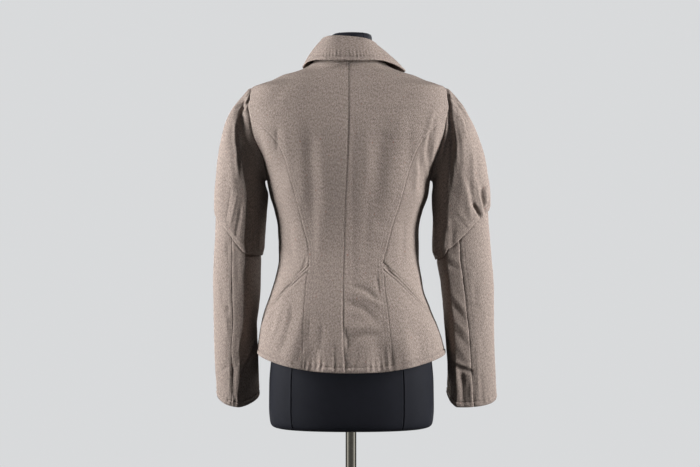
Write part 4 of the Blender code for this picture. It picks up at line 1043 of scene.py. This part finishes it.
def seam_relief(point, kinds):
    """Grooves, rolls and puckers beside the edges of a panel: left, right, bottom and top."""
    total = np.zeros(point.shape[:2])
    for number, (kind, edge) in enumerate(zip(kinds, edges_of(point))):
        if not kind:
            continue
        away, along = beside(point, edge)
        gather = np.stack([along, 0.18 * away, 0 * away], -1)
        pucker = drift(gather, 0.0038, 11 + number) + 0.6 * drift(gather, 0.0085, 21 + number)
        if kind == "hem":
            line = STITCH_LINES["hem"][0]
            total -= (0.0014 + 0.0005 * pucker) * bump(away, line, 0.0017)
            total += HEM_ROLL * (1 - eased(away, 0.006, 0.012)) * eased(away, 0, 0.003)
            ribs = np.sin(2 * math.pi * along / HEM_RIB + 2.4 * drift(gather, 0.022, 41)) + 0.7 * pucker
            total += HEM_RIB_HEIGHT * ribs * bump(away, 0.0085, np.where(away < 0.0085, 0.006, 0.014))
            continue
        depth, half, height, reach, line_depth, line_half = SEAM_RELIEFS[kind]
        total += height * pucker * bump(away, 0, reach) - depth * bump(away, 0, half)
        for line in STITCH_LINES.get(kind, ()):
            total -= line_depth * bump(away, line, line_half)
        if kind == "centre":
            total += CENTRE_ROLL * bump(away, 0.004, 0.002)
    return total


def stitch_lines(outer, normal, kinds):
    """Rows of points on the cloth, a stitched line's distance inside each edge that has one."""
    lines = []
    for number, (kind, edge) in enumerate(zip(kinds, edges_of(outer))):
        for distance in STITCH_LINES.get(kind, ()):
            away, _ = beside(outer, edge)
            grid, up = (outer, normal) if number < 2 else (
                outer.transpose(1, 0, 2), normal.transpose(1, 0, 2)
            )
            away = away if number < 2 else away.T
            if number in (1, 3):
                grid, up, away = grid[:, ::-1], up[:, ::-1], away[:, ::-1]
            far = np.argmax(away >= distance, axis=1)
            rows = np.flatnonzero(far > 0)
            far = far[rows]
            low, high = away[rows, far - 1], away[rows, far]
            share = ((distance - low) / np.maximum(high - low, 1e-9))[:, None]
            place = grid[rows, far - 1] * (1 - share) + grid[rows, far] * share
            lines.append((place, unit(up[rows, far - 1] * (1 - share) + up[rows, far] * share)))
    return lines


def sew(name, lines):
    """A row of short rounded stitches along each line, joined into one piece."""
    settings = bpy.context.scene.jacket
    length, radius, around = settings.stitch, settings.thread, 5
    bars = []
    for line, normal in lines:
        run = run_of(line)
        starts = np.arange(0.001, run[-1] - length, length * 1.28)
        for share, sink, wide in STITCH_SHAPE:
            where = starts + share * length
            middle, ahead = sampled(where, run, line), sampled(where + 0.0005, run, line)
            up = unit(sampled(where, run, normal))
            across = unit(np.cross(up, ahead - middle + 1e-12))
            angle = np.linspace(0, 2 * math.pi, around + 1)[:-1]
            ray = across[:, None] * np.cos(angle)[:, None] + up[:, None] * np.sin(angle)[:, None]
            bars.append((middle + up * sink * radius)[:, None] + ray * radius * wide)
    count = len(STITCH_SHAPE)
    groups = [np.stack(bars[k : k + count], 1) for k in range(0, len(bars), count)]
    points = np.concatenate(groups)
    total = len(points)
    ring = np.arange(around)
    faces = quads(count, around, around)
    whole = (faces[None] + np.arange(total)[:, None, None] * count * around).reshape(-1, 4)
    mesh = bpy.data.meshes.new(name)
    ends = [list(ring[::-1] + k * count * around) for k in range(total)]
    ends += [list(ring + (k * count + count - 1) * around) for k in range(total)]
    mesh.from_pydata(points.reshape(-1, 3).tolist(), [], whole.tolist() + ends)
    piece = new_piece(name, mesh, thread())
    return piece


def unevenness(point):
    """Slight waves of the wool, a broad one and a finer one."""
    return 0.0006 * drift(point, 0.034, 1) + 0.00028 * drift(point, 0.013, 2)


def declare(name, with_pieces=()):
    """Hides the CAD node of one cloth piece."""
    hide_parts(name)


def cloth_piece(name, outer, normal, kinds, closed_round=False):
    """One piece of cloth with its stitched lines, from the outer face of its wall."""
    inner = outer - normal * bpy.context.scene.jacket.wall
    piece = wall("cloth_" + name, outer, inner, wool(), closed_round)
    if closed_round:
        outer, normal = closed(outer), closed(normal)
    lines = stitch_lines(outer, normal, kinds)
    declare(name, [sew("stitches_" + name, lines)] if lines else [])


def body_panel(name, side, places, kinds, lift=None):
    point, normal = cloth(side, places[..., 0], places[..., 1])
    if lift is not None:
        point = point + normal * lift(point)[..., None]
    relief = seam_relief(point, kinds) + unevenness(point)
    relief += creases(point, normal, BACK_CREASES, -1) + creases(point, normal, FRONT_CREASES, 1)
    cloth_piece(name, point + normal * relief[..., None], normal, kinds)


def front_lift(point):
    """The right front lies over the left one, and eases down to its own level beside the overlap."""
    away = eased(point[..., 0], LAP_X, LAP_X + LAP_EASE)
    return (bpy.context.scene.jacket.wall + LAP_GAP) * (1 - away)


def middle_line(side, left, right, top):
    """A line of places up the middle of a front, from the hem to the side of the neck."""
    left_x = body(side, left[:, 0], left[:, 1])[:, 0]
    right_x = body(side, right[:, 0], right[:, 1])[:, 0]
    top_x = body(side, *top)[0]
    pull = np.linspace(0, 1, len(left)) ** 4
    x = (1 - pull) * 0.5 * (left_x + right_x) + pull * top_x
    z = (1 - pull) * 0.5 * (left[:, 1] + right[:, 1]) + pull * top[1]
    turn = turn_at(side, x, z, 1)
    turn[-1] = top[0]
    return np.stack([turn, z], -1)


def body_places(side, seam):
    """The grids of places of the six panels of one side, with what each of their edges is."""
    back_edge = np.vstack([seam["long_back"], seam["princess_back"][1:], seam["arm_high_back"][1:]])
    back_top = np.vstack([seam["neck_back"], seam["shoulder"][1:]])
    front_edge = np.vstack(
        [seam["long_front"], seam["princess_front"][1:], seam["arm_high_front"][1:]]
    )
    middle = middle_line(side, front_edge, seam["opening"], seam["shoulder"][0])
    parted = SHOULDER_COLUMNS
    halves = (
        patch(side, front_edge, middle, seam["hem_front"][: parted + 1], seam["shoulder"][::-1], 1),
        patch(side, middle, seam["opening"], seam["hem_front"][parted:], seam["neck_front"], 1),
    )
    return {
        "back": (
            patch(side, seam["centre"], back_edge, seam["hem_back"], back_top, -1),
            ("centre", "stitched", "hem", "seam"),
        ),
        "side_back": (
            patch(side, seam["princess_back"], seam["side_high"], seam["hip_back"], seam["arm_low_back"]),
            ("seam", "seam", "seam", "seam"),
        ),
        "hip_back": (
            patch(side, seam["long_back"], seam["side_low"], seam["hem_hip_back"], seam["hip_back"]),
            ("", "seam", "hem", "hip"),
        ),
        "front": (
            np.concatenate([halves[0], halves[1][:, 1:]], axis=1),
            ("stitched", "hem", "hem", "seam"),
        ),
        "side_front": (
            patch(
                side, seam["princess_front"], seam["side_high"], seam["hip_front"], seam["arm_low_front"]
            ),
            ("seam", "seam", "seam", "seam"),
        ),
        "hip_front": (
            patch(side, seam["long_front"], seam["side_low"], seam["hem_hip_front"], seam["hip_front"]),
            ("seam", "seam", "hem", "stitched"),
        ),
    }


def section(table, powers, side, round_it, z):
    """A point of a sleeve; round_it is 0 beside the body, 90 at the back, 180 outside, 270 in front."""
    round_it, z = np.broadcast_arrays(np.asarray(round_it, float), np.asarray(z, float))
    inner, outer, back, front, ridge, hollow = columns(table, z)
    outer_y, front_x = 0.45 * back + 0.55 * front, 0.5 * (inner + outer)
    quarter = np.clip((round_it % 360) // 90, 0, 3).astype(int)
    within = np.radians(round_it % 360 - 90 * quarter)
    power = 2 / np.array(powers)[quarter]
    falling, rising = np.cos(within) ** power, np.sin(within) ** power
    x = np.choose(
        quarter,
        [
            ridge + (inner - ridge) * falling,
            ridge + (outer - ridge) * rising,
            front_x + (outer - front_x) * falling,
            front_x + (inner - front_x) * rising,
        ],
    )
    y = np.choose(
        quarter,
        [
            hollow + (back - hollow) * rising,
            outer_y + (back - outer_y) * falling,
            outer_y + (front - outer_y) * rising,
            hollow + (front - hollow) * falling,
        ],
    )
    return np.stack([side * x, y, z], -1)


def armhole_ring(side, seam):
    """Points round the armhole from the underarm by way of the back, and their places round the sleeve."""
    ring, places = [], []
    for curve, face in (
        (seam["arm_low_back"][::-1], -1),
        (seam["arm_high_back"], -1),
        (seam["arm_high_front"][::-1], 1),
        (seam["arm_low_front"], 1),
    ):
        point, _ = cloth(side, curve[:, 0], curve[:, 1])
        cos = np.clip((ARMHOLE_MIDDLE_Z - curve[:, 1]) / ARMHOLE_HALF_HEIGHT, -1, 1)
        angle = np.degrees(np.arccos(cos))
        ring.append(point[:-1])
        places.append((angle if face < 0 else 360 - angle)[:-1])
    return np.concatenate(ring), np.concatenate(places)


def elbow_z(side, round_it):
    return smooth(ELBOW_SEAM[side])(np.asarray(round_it) % 360)[..., 0]


def outward_normals(grid):
    normal = grid_normals(grid, True)
    outward = grid - grid.mean(axis=1, keepdims=True)
    return normal if (normal * outward).sum() > 0 else -normal


def upper_sleeve(side, seam, word, lower_edge):
    """The gathered sleeve from the armhole down to the elbow seam, over the lower sleeve's edge."""
    table = smooth(UPPER_SLEEVE[side])
    powers = SLEEVE_POWERS[side]
    ring, places = armhole_ring(side, seam)
    middle = ring.mean(axis=0)
    order = np.arange(len(places))
    between = order[(places > 72) & (places < 205)] + 0.5
    finer = np.sort(np.concatenate([order, between]))
    ring = sampled(finer, order, ring)
    places = np.interp(finer, order, places)
    cos, sin = np.cos(np.radians(places)), np.sin(np.radians(places))
    start = ring + unit(middle - ring) * 0.0004
    start[:, 0] += side * 0.0003
    biceps_z = BICEPS_LOW_Z + BICEPS_RISE * (1 - cos) / 2
    end = section(table, powers, side, places, biceps_z)
    rise = unit(section(table, powers, side, places, biceps_z + 0.012) - end)
    span = np.linalg.norm(end - start, axis=1)[:, None]
    top = (1 - cos) / 2
    way = unit(np.stack([side * (1.0 - 0.15 * top), -0.18 * sin, -0.12 - 0.48 * top], -1))
    # Handles of each column's curve: a share of its span, and at most so long
    first = start + way * np.minimum(0.30 * span, 0.045)
    second = end + rise * np.minimum(0.45 * span, 0.085)
    head_steps = np.linspace(0, 1, HEAD_ROWS) ** 1.25
    rows = [
        (1 - step) ** 3 * start
        + 3 * (1 - step) ** 2 * step * first
        + 3 * (1 - step) * step**2 * second
        + step**3 * end
        for step in head_steps
    ]
    low = elbow_z(side, places)
    shares = np.linspace(0, 1, ARM_LENGTH_ROWS)[1:]
    for share in shares:
        held = min(share, EDGE_SHARE)
        row = section(table, powers, side, places, biceps_z + (low - biceps_z) * held)
        if share > EDGE_SHARE:
            near = (share - EDGE_SHARE) / (1 - EDGE_SHARE)
            row = (1 - near) * row + near * lower_edge(places)
        rows.append(row)
    grid = np.array(rows)[::-1]
    normal = outward_normals(grid)
    steps = np.concatenate([head_steps, np.ones(len(shares))])[::-1][:, None]
    relief = np.zeros(grid.shape[:2])
    for place, half, height, reach in GATHERS[side]:
        fade = np.clip(1 - steps / reach, 0, 1) * np.clip(steps / 0.05, 0, 1)
        relief += height * bump(places[None], place, half) * fade
    depth, down, half = HEAD_VALLEY[side]
    relief -= depth * bump(places[None], 132, 30) * bump(steps, down, half) * (steps > 0)
    height, place, half = HEAD_PUFF[side]
    relief += height * bump(places[None], place, half) * bump(steps, 0.50, 0.22)
    grid = grid + normal * relief[..., None]
    normal = outward_normals(grid)
    kinds = ("", "", "stitched", "seam")
    relief = seam_relief(closed(grid), kinds)[:, :-1] + unevenness(grid)
    relief += creases(grid, normal, SLEEVE_CREASES[side], -1)
    outer = grid + normal * relief[..., None]
    cloth_piece("sleeve_upper_" + word, outer, normal, kinds, closed_round=True)


def lower_sleeve(side, word):
    """The two panels below the elbow seam, parted at the back seam and at the front one."""
    settings = bpy.context.scene.jacket
    table = smooth(LOWER_SLEEVE[side])
    powers = SLEEVE_POWERS[side]
    back_seam_place, front_seam_place, twist = LOWER_SEAMS[side]

    def surface(places):
        top = elbow_z(side, places) + SLEEVE_TUCK
        back = float(table(CUFF_Z)[2])
        cuff = section(table, powers, side, places, CUFF_Z)
        cuff_z = CUFF_Z + CUFF_SLOPE * (cuff[:, 1] - back)
        share = np.concatenate([np.linspace(0, 0.045, 13)[:-1], np.linspace(0.045, 1, 107)])[:, None]
        return section(table, powers, side, places + twist * (1 - share), cuff_z + (top - cuff_z) * share)

    outer_places = np.linspace(back_seam_place, front_seam_place, SLEEVE_AROUND + 1)
    under_places = np.linspace(front_seam_place, back_seam_place + 360, SLEEVE_AROUND + 1)
    whole = np.concatenate([outer_places[:-1], under_places[:-1]])
    grid = surface(whole)
    normal = outward_normals(grid)
    relief = unevenness(grid) + creases(grid, normal, SLEEVE_CREASES[side], -1)
    below = elbow_z(side, whole)[None] - grid[..., 2]
    relief -= 0.0016 * bump(below, 0.0004, 0.0024)
    half = len(outer_places) - 1
    loops = {
        "outer_": list(range(half + 1)),
        "under_": list(range(half, len(whole))) + [0],
    }
    for kind, used in loops.items():
        point, away = grid[:, used], normal[:, used]
        kinds = ("stitched" if kind == "outer_" else "seam", "seam", "hem", "")
        lift = relief[:, used] + seam_relief(point, kinds)
        outer = point + away * lift[..., None]
        cloth_piece("sleeve_lower_" + kind + word, outer, away, kinds)

    top_normal = normal[-1] * np.array([1, 1, 0])
    rim = grid[-1] + unit(top_normal) * (settings.wall + 0.0009)

    def edge(places):
        """Where the upper sleeve's edge lies over the lower one."""
        order = np.concatenate([whole, [whole[0] + 360]])
        closed_rim = np.vstack([rim, rim[:1]])
        where = (places - whole[0]) % 360 + whole[0]
        point = sampled(where, order, closed_rim)
        point[:, 2] = elbow_z(side, places)
        return point

    return edge


def neck_ring(seams):
    """Points of the neck seam from the left front round the back to the right front."""
    ring = []
    for side in (-1, 1):
        curve = np.vstack([seams[side]["neck_back"], seams[side]["neck_front"][1:]])
        curve = curve[curve[:, 0] < 89.5]
        finer = np.linspace(0, len(curve) - 1, 4 * len(curve) - 3)
        curve = sampled(finer, np.arange(len(curve)), curve)
        point, normal = cloth(side, curve[:, 0], curve[:, 1])
        if side > 0:
            point = point + normal * (front_lift(point) * (curve[:, 0] > 0))[:, None]
        run = [(side, place, low) for place, low in zip(curve, point)]
        ring += run[::-1] if side < 0 else run[1:]
    return ring


def collar(seams):
    """One folded band round the neck, from its seam up over the fold and down to its free edge."""
    shares, turns = np.array([row[:2] for row in COLLAR_STATIONS]).T
    rows = []
    for side, place, low in neck_ring(seams):
        share = float(np.interp(place[0], turns, shares))
        _, fold_x, fold_y, fold_z, edge_turn, left_z, right_z, lift = collar_station(share)
        half = 0.5 * (1 + side * min(1.0, share / 0.3))
        edge_z = left_z * (1 - half) + right_z * half
        normal = body_normal(side, *place)
        up = unit(body(side, *place) - body(side, place[0], place[1] - 0.002))
        base = low - normal * COLLAR_SEAT_IN + up * COLLAR_SEAT_UP
        fold = np.array(
            [COLLAR_CENTRE + side * fold_x, fold_y, fold_z - side * COLLAR_TILT * fold_x]
        )
        edge = body(side, edge_turn, edge_z) + body_normal(side, edge_turn, edge_z) * lift
        out = unit(np.array([edge[0] - base[0] * 0.6, edge[1] - base[1] * 0.6, 0]))
        centre = fold - np.array([0, 0, COLLAR_ROLL])
        top_in, top_out = centre - out * COLLAR_ROLL, centre + out * COLLAR_ROLL
        bow = unit(np.cross(np.cross(out, edge - top_out), edge - top_out))
        bow = bow if bow @ out > 0 else -bow
        line = [base + (top_in - base) * s for s in np.linspace(0, 0.95, STAND_ROWS)]
        for angle in np.linspace(160, 8, ROLL_ROWS):
            turn = math.radians(angle)
            ray = out * math.cos(turn) + np.array([0, 0, 1]) * math.sin(turn)
            line.append(centre + ray * COLLAR_ROLL)
        for s in np.linspace(0.06, 1.0, FALL_ROWS):
            line.append(top_out + (edge - top_out) * s + bow * COLLAR_BOW * math.sin(math.pi * s))
        rows.append(line)
    grid = np.array(rows)
    normal = grid_normals(grid, False)
    if (normal[:, -2] * (grid[:, -2] - grid[:, 1])).sum() < 0:
        normal = -normal
    half = normal * COLLAR_THICKNESS / 2
    outer = grid + half
    away, along = beside(outer, outer[:, -1])
    rib = np.stack([along, 0.15 * away, 0 * away], -1)
    ribs = np.sin(2 * math.pi * along / COLLAR_RIB + 2.2 * drift(rib, 0.016, 31))
    ribs = (ribs + 0.8 * drift(rib, 0.0036, 32)) * (1 + 0.5 * drift(rib, 0.030, 33))
    fall = np.linspace(0, 1, outer.shape[1]) > 0.35
    lift = 0.0005 * ribs * np.exp(-((away - 0.009) / 0.013) ** 2 * np.where(away < 0.009, 5.0, 1.0))
    lift += 0.0005 * (1 - eased(away, 0.004, 0.007))
    lift -= 0.0014 * bump(away, STITCH_LINES["collar"][0], 0.0014)
    lift = (lift * fall + unevenness(outer))[..., None]
    outer = outer + normal * lift
    piece = wall("cloth_collar", outer, grid - half + normal * lift * 0.6, wool(), round_edge=0.0010)
    threads = sew("stitches_collar", stitch_lines(outer, normal, ("", "collar", "", "")))
    declare("collar", [threads])


def add(tree, kind, inputs, **options):
    """Adds a node; each of its inputs is a value or the socket that feeds it."""
    made = tree.nodes.new("ShaderNode" + kind)
    for name, value in options.items():
        setattr(made, name, value)
    feed(tree, made, inputs)
    return made


def feed(tree, node, inputs):
    for key, value in inputs.items():
        if isinstance(value, bpy.types.NodeSocket):
            tree.links.new(value, node.inputs[key])
        else:
            node.inputs[key].default_value = value


def new_finish(name):
    made = bpy.data.materials.new(name)
    made.use_nodes = True
    return made, made.node_tree, made.node_tree.nodes["Principled BSDF"]


def mixed(tree, share, first, second):
    return add(tree, "Mix", {0: share, 6: first, 7: second}, data_type="RGBA").outputs[2]


def raised(tree, height, strength, distance):
    """Normals of a surface that a pattern lifts by up to a distance."""
    inputs = {"Height": height, "Strength": strength, "Distance": distance}
    return add(tree, "Bump", inputs).outputs["Normal"]


def noise(tree, place, scale, detail=2.0):
    return add(tree, "TexNoise", {"Vector": place, "Scale": scale, "Detail": detail}).outputs["Fac"]


def wool():
    """Brushed wool twill: mottled strokes in two tones, a fine diagonal rib and loose fibres."""
    known = bpy.data.materials.get("brushed_twill")
    if known:
        return known
    settings = bpy.context.scene.jacket
    made, tree, shader = new_finish("brushed_twill")
    grain = add(tree, "UVMap", {}, uv_map="grain").outputs["UV"]
    dark, light, fleck = (
        (*tone, 1) for tone in (settings.wool_dark, settings.wool_light, settings.wool_fleck)
    )

    def strokes(size, stretch, turn, detail, low, high, offset=0.0):
        """Noise drawn out into slanting strokes, from 0 to 1 between two of its values."""
        inputs = {
            "Vector": grain,
            "Location": (offset, offset, 0),
            "Rotation": (0, 0, turn),
            "Scale": (1, stretch, 1),
        }
        place = add(tree, "Mapping", inputs, vector_type="TEXTURE").outputs["Vector"]
        value = noise(tree, place, 1 / size, detail)
        inputs = {"Value": value, "From Min": low, "From Max": high}
        return add(tree, "MapRange", inputs, interpolation_type="SMOOTHSTEP").outputs["Result"]

    twill = mixed(tree, strokes(0.0020, 2.6, -0.35, 1.0, 0.36, 0.64), dark, light)
    crossing = mixed(tree, strokes(0.0017, 2.0, 0.55, 1.0, 0.36, 0.64, 7.0), dark, light)
    fibres = strokes(0.0014, 3.0, -0.30, 2.0, 0.30, 0.70, 5.0)
    fuzz = mixed(tree, fibres, dark, light)
    blended = mixed(tree, 0.25, mixed(tree, 0.38, twill, crossing), fuzz)
    flecks = strokes(0.0034, 2.0, 0.2, 0.0, 0.81, 0.85, 9.0)
    inputs = {"Vector": grain, "Scale": 120.0, "Distortion": 1.5, "Detail": 1.0, "Detail Scale": 1.5}
    rib = add(tree, "TexWave", inputs, wave_type="BANDS", bands_direction="DIAGONAL").outputs["Fac"]
    height = add(tree, "Math", {0: rib, 1: 0.35, 2: fibres}, operation="MULTIPLY_ADD").outputs["Value"]
    finish = {
        "Base Color": mixed(tree, flecks, blended, fleck),
        "Normal": raised(tree, height, 0.6, 0.0004),
        "Roughness": 0.92,
        "Specular IOR Level": 0.0,
        "Sheen Weight": 0.02,
        "Sheen Roughness": 0.45,
        "Sheen Tint": (0.9, 0.85, 0.8, 1),
    }
    feed(tree, shader, finish)
    return made


def thread():
    known = bpy.data.materials.get("sewing_thread")
    if known:
        return known
    settings = bpy.context.scene.jacket
    return grained("sewing_thread", settings.wool_dark, settings.wool_middle, 900, (0.6, 0.8))


def form_cloth():
    """The form's plain dark cover, a close weave with faint unevenness."""
    settings = bpy.context.scene.jacket
    made, tree, shader = new_finish("form_cloth")
    place = add(tree, "TexCoord", {}).outputs["Object"]
    dark, light = (*settings.cover_dark, 1), (*settings.cover_light, 1)
    finish = {
        "Base Color": mixed(tree, noise(tree, place, 60.0, 4.0), dark, light),
        "Normal": raised(tree, noise(tree, place, 1400.0), 0.4, 0.0003),
        "Roughness": 0.75,
        "Specular IOR Level": 0.12,
        "Sheen Weight": 0.01,
        "Sheen Roughness": 0.4,
    }
    feed(tree, shader, finish)
    return made


def grained(name, dark, light, scale, roughness, metallic=0.0, depth=0.0002):
    """A hard finish with faint grain in its tone, its gloss and its surface."""
    made, tree, shader = new_finish(name)
    place = add(tree, "TexCoord", {}).outputs["Object"]
    grain = noise(tree, place, scale, 5.0)
    gloss = {"Value": grain, "To Min": roughness[0], "To Max": roughness[1]}
    finish = {
        "Base Color": mixed(tree, grain, (*dark, 1), (*light, 1)),
        "Roughness": add(tree, "MapRange", gloss).outputs["Result"],
        "Normal": raised(tree, grain, 0.3, depth),
        "Metallic": metallic,
    }
    feed(tree, shader, finish)
    return made


def dress_form():
    """The padded torso under its close cover, which is sewn together up four long seams."""
    ring = smooth(FORM_RINGS)
    heights = np.concatenate(
        [
            np.linspace(FORM_RINGS[0][0], 0.712, 16)[:-1],
            np.linspace(0.712, 1.375, 90)[:-1],
            np.linspace(1.375, FORM_RINGS[-1][0], 60),
        ]
    )
    turn = np.linspace(-180, 180, FORM_AROUND + 1)[:-1]
    places = [turn_in(columns(ring, FORM_SEAMS_Z), x, face) for x, face in FORM_SEAMS]
    close = [place + np.array([-1.2, -0.7, -0.4, -0.2, 0, 0.2, 0.4, 0.7, 1.2]) for place in places]
    turn = np.unique(np.concatenate([turn, *close]))
    x, y = oval([value[:, None] for value in columns(ring, heights)], turn)
    grid = np.stack([x, y, np.broadcast_to(heights[:, None], x.shape)], -1)
    normal = outward_normals(grid)
    lift = np.zeros(x.shape)
    for place in places:
        lift += FORM_ROLL * bump(turn, place, FORM_ROLL_TURN)
        lift -= FORM_GROOVE * bump(turn, place, FORM_GROOVE_TURN)
    lift += 0.0004 * drift(grid, 0.060, 3)
    lift *= eased(heights[:, None], 0.690, 0.700)
    grid = grid + normal * lift[..., None]
    rows, cols = grid.shape[:2]
    faces = quads(rows, cols, cols)
    mesh = bpy.data.meshes.new("form_cover")
    ends = [list(range(cols))[::-1], [(rows - 1) * cols + k for k in range(cols)]]
    mesh.from_pydata(grid.reshape(-1, 3).tolist(), [], faces.tolist() + ends)
    piece = new_piece("form_cover", mesh, form_cloth())
    mesh.set_sharp_from_angle(angle=math.radians(50))
    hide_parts("form")


def seen_directly(tree, screens=False):
    """1 for the camera, less in mirrors, 0 for light on the cloth; screens are bright bands in mirrors."""
    path = add(tree, "LightPath", {})
    strength = MIRRORED
    if screens:
        way = add(tree, "TexCoord", {}).outputs["Generated"]
        off = add(tree, "SeparateXYZ", {0: way}).outputs["Y"]
        for operation, value in (("ADD", 0.41), ("ABSOLUTE", 0.0)):
            off = add(tree, "Math", {0: off, 1: value}, operation=operation).outputs["Value"]
        inputs = {"Value": off, "From Min": 0.16, "From Max": 0.30, "To Min": 0.85, "To Max": 0.11}
        strength = add(tree, "MapRange", inputs).outputs["Result"]
    inputs = {0: path.outputs["Is Glossy Ray"], 1: strength}
    faint = add(tree, "Math", inputs, operation="MULTIPLY").outputs["Value"]
    inputs = {0: path.outputs["Is Camera Ray"], 1: faint}
    return add(tree, "Math", inputs, operation="MAXIMUM").outputs["Value"]


class JacketSettings(bpy.types.PropertyGroup):
    """Sizes and colours of the jacket and its form"""

    wall: FloatProperty(
        name="Cloth",
        description="Thickness of the wool",
        default=0.0022,
        min=0.0005,
        max=0.005,
        unit="LENGTH",
    )
    stitch: FloatProperty(
        name="Stitch", description="Length of one stitch", default=0.0032, unit="LENGTH"
    )
    thread: FloatProperty(
        name="Thread", description="Radius of the sewing thread", default=0.00035, unit="LENGTH"
    )
    wool_light: FloatVectorProperty(
        name="Light wool",
        description="Lighter fibres",
        subtype="COLOR",
        default=(0.300, 0.248, 0.220),
    )
    wool_middle: FloatVectorProperty(
        name="Wool", description="Main tone", subtype="COLOR", default=(0.206, 0.169, 0.149)
    )
    wool_dark: FloatVectorProperty(
        name="Dark wool", description="Darker fibres", subtype="COLOR", default=(0.118, 0.096, 0.084)
    )
    wool_fleck: FloatVectorProperty(
        name="Flecks", description="Few warm flecks", subtype="COLOR", default=(0.200, 0.095, 0.075)
    )
    cover_dark: FloatVectorProperty(
        name="Dark cover", description="Form's cover", subtype="COLOR", default=(0.0046, 0.0051, 0.0080)
    )
    cover_light: FloatVectorProperty(
        name="Light cover",
        description="Lighter threads of the form's cover",
        subtype="COLOR",
        default=(0.0070, 0.0077, 0.0120),
    )


class JACKET_OT_body(bpy.types.Operator):
    """Sews the twelve panels of the jacket's body"""

    bl_idname = "jacket.body"
    bl_label = "Body panels"

    def execute(self, context):
        for side, word in SIDES:
            for name, (places, kinds) in body_places(side, seams_of(side)).items():
                lift = front_lift if name == "front" and side > 0 else None
                body_panel(name + "_" + word, side, places, kinds, lift)
        return {"FINISHED"}


class JACKET_OT_sleeves(bpy.types.Operator):
    """Sews both sleeves, from their gathered heads to their cuffs"""

    bl_idname = "jacket.sleeves"
    bl_label = "Sleeves"

    def execute(self, context):
        for side, word in SIDES:
            edge = lower_sleeve(side, word)
            upper_sleeve(side, seams_of(side), word, edge)
        return {"FINISHED"}


class JACKET_OT_collar(bpy.types.Operator):
    """Folds the collar round the neck"""

    bl_idname = "jacket.collar"
    bl_label = "Collar"

    def execute(self, context):
        collar({side: seams_of(side) for side, _ in SIDES})
        return {"FINISHED"}


class JACKET_OT_form(bpy.types.Operator):
    """Covers the dress form and finishes its stand and the buttons"""

    bl_idname = "jacket.form"
    bl_label = "Form, stand and buttons"

    def execute(self, context):
        dress_form()
        finishes = {
            "pole": grained(
                "chrome", (0.58, 0.54, 0.45), (0.66, 0.62, 0.53), 90, (0.06, 0.12), 1.0, 0.00001
            ),
            "base": grained("stand_paint", (0.020, 0.020, 0.022), (0.035, 0.035, 0.037), 400, (0.4, 0.6)),
        }
        horn = grained("horn", (0.030, 0.022, 0.018), (0.075, 0.055, 0.045), 120, (0.25, 0.45))
        for name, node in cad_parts.items():
            finish = finishes.get(name, horn if name.startswith("button") else None)
            if finish:
                for slot in node.material_slots:
                    slot.material = finish
        return {"FINISHED"}


class JACKET_OT_stage(bpy.types.Operator):
    """Sets the pale floor, the soft lights and the camera behind the jacket"""

    bl_idname = "jacket.stage"
    bl_label = "Stage"

    def execute(self, context):
        scene = context.scene
        for thing in bpy.context.selected_objects:
            thing.select_set(False)
        bpy.ops.mesh.primitive_circle_add(vertices=96, radius=3.0, fill_type="NGON", location=(0, 0, -0.0005))
        floor = context.object
        floor.name = "floor"
        paint, tree, shader = new_finish("floor_paint")
        finish = {
            "Base Color": (0.22, 0.22, 0.22, 1),
            "Roughness": 0.9,
            "Emission Color": (0.46, 0.465, 0.47, 1),
            "Emission Strength": seen_directly(tree),
        }
        feed(tree, shader, finish)
        floor.data.materials.append(paint)

        for name, place, aim, width, height, power, spread in LAMPS:
            light = bpy.data.lights.new(name, "AREA")
            light.shape = "RECTANGLE"
            light.size, light.size_y = width, height
            light.energy = power
            light.spread = math.radians(spread)
            lamp = bpy.data.objects.new(name, light)
            way = np.array(aim) - np.array(place)
            lamp.location = place
            lamp.rotation_euler = (
                math.acos(-way[2] / np.linalg.norm(way)),
                0,
                math.atan2(way[1], way[0]) - math.pi / 2,
            )
            scene.collection.objects.link(lamp)

        world = bpy.data.worlds.new("studio")
        world.use_nodes = True
        tree = world.node_tree
        backdrop, surroundings = tree.nodes["Background"], add(tree, "Background", {})
        feed(tree, backdrop, {"Color": (0.69, 0.70, 0.71, 1)})
        feed(tree, surroundings, {"Color": (0.002, 0.002, 0.0021, 1)})
        share = seen_directly(tree, screens=True)
        both = add(tree, "MixShader", {0: share, 1: surroundings.outputs[0], 2: backdrop.outputs[0]})
        feed(tree, tree.nodes["World Output"], {"Surface": both.outputs[0]})
        scene.world = world
        scene.view_settings.view_transform = "Standard"

        view = bpy.data.cameras.new("view")
        view.sensor_width = 36.0
        view.lens = 87.8
        camera = bpy.data.objects.new("view", view)
        camera.location = (VIEW_X, -VIEW_DISTANCE, VIEW_Z)
        camera.rotation_euler = (math.pi / 2, 0, 0)
        scene.collection.objects.link(camera)
        scene.camera = camera
        return {"FINISHED"}


class JACKET_PT_panel(bpy.types.Panel):
    """The jacket's pieces and settings"""

    bl_idname = "JACKET_PT_panel"
    bl_label = "Jacket"
    bl_space_type = "VIEW_3D"
    bl_region_type = "UI"
    bl_category = "Jacket"

    def draw(self, context):
        settings = context.scene.jacket
        for name in settings.bl_rna.properties.keys():
            if name not in ("rna_type", "name"):
                self.layout.prop(settings, name)
        for step in STEPS:
            self.layout.operator(step.bl_idname)


STEPS = (JACKET_OT_stage, JACKET_OT_body, JACKET_OT_sleeves, JACKET_OT_collar, JACKET_OT_form)
CLASSES = (JacketSettings, *STEPS, JACKET_PT_panel)


def register():
    for kind in CLASSES:
        bpy.utils.register_class(kind)
    bpy.types.Scene.jacket = PointerProperty(type=JacketSettings)


def unregister():
    del bpy.types.Scene.jacket
    for kind in reversed(CLASSES):
        bpy.utils.unregister_class(kind)


def main():
    register()
    bpy.ops.jacket.stage()
    bpy.ops.jacket.body()
    bpy.ops.jacket.sleeves()
    bpy.ops.jacket.collar()
    bpy.ops.jacket.form()


if __name__ == "__main__":
    main()
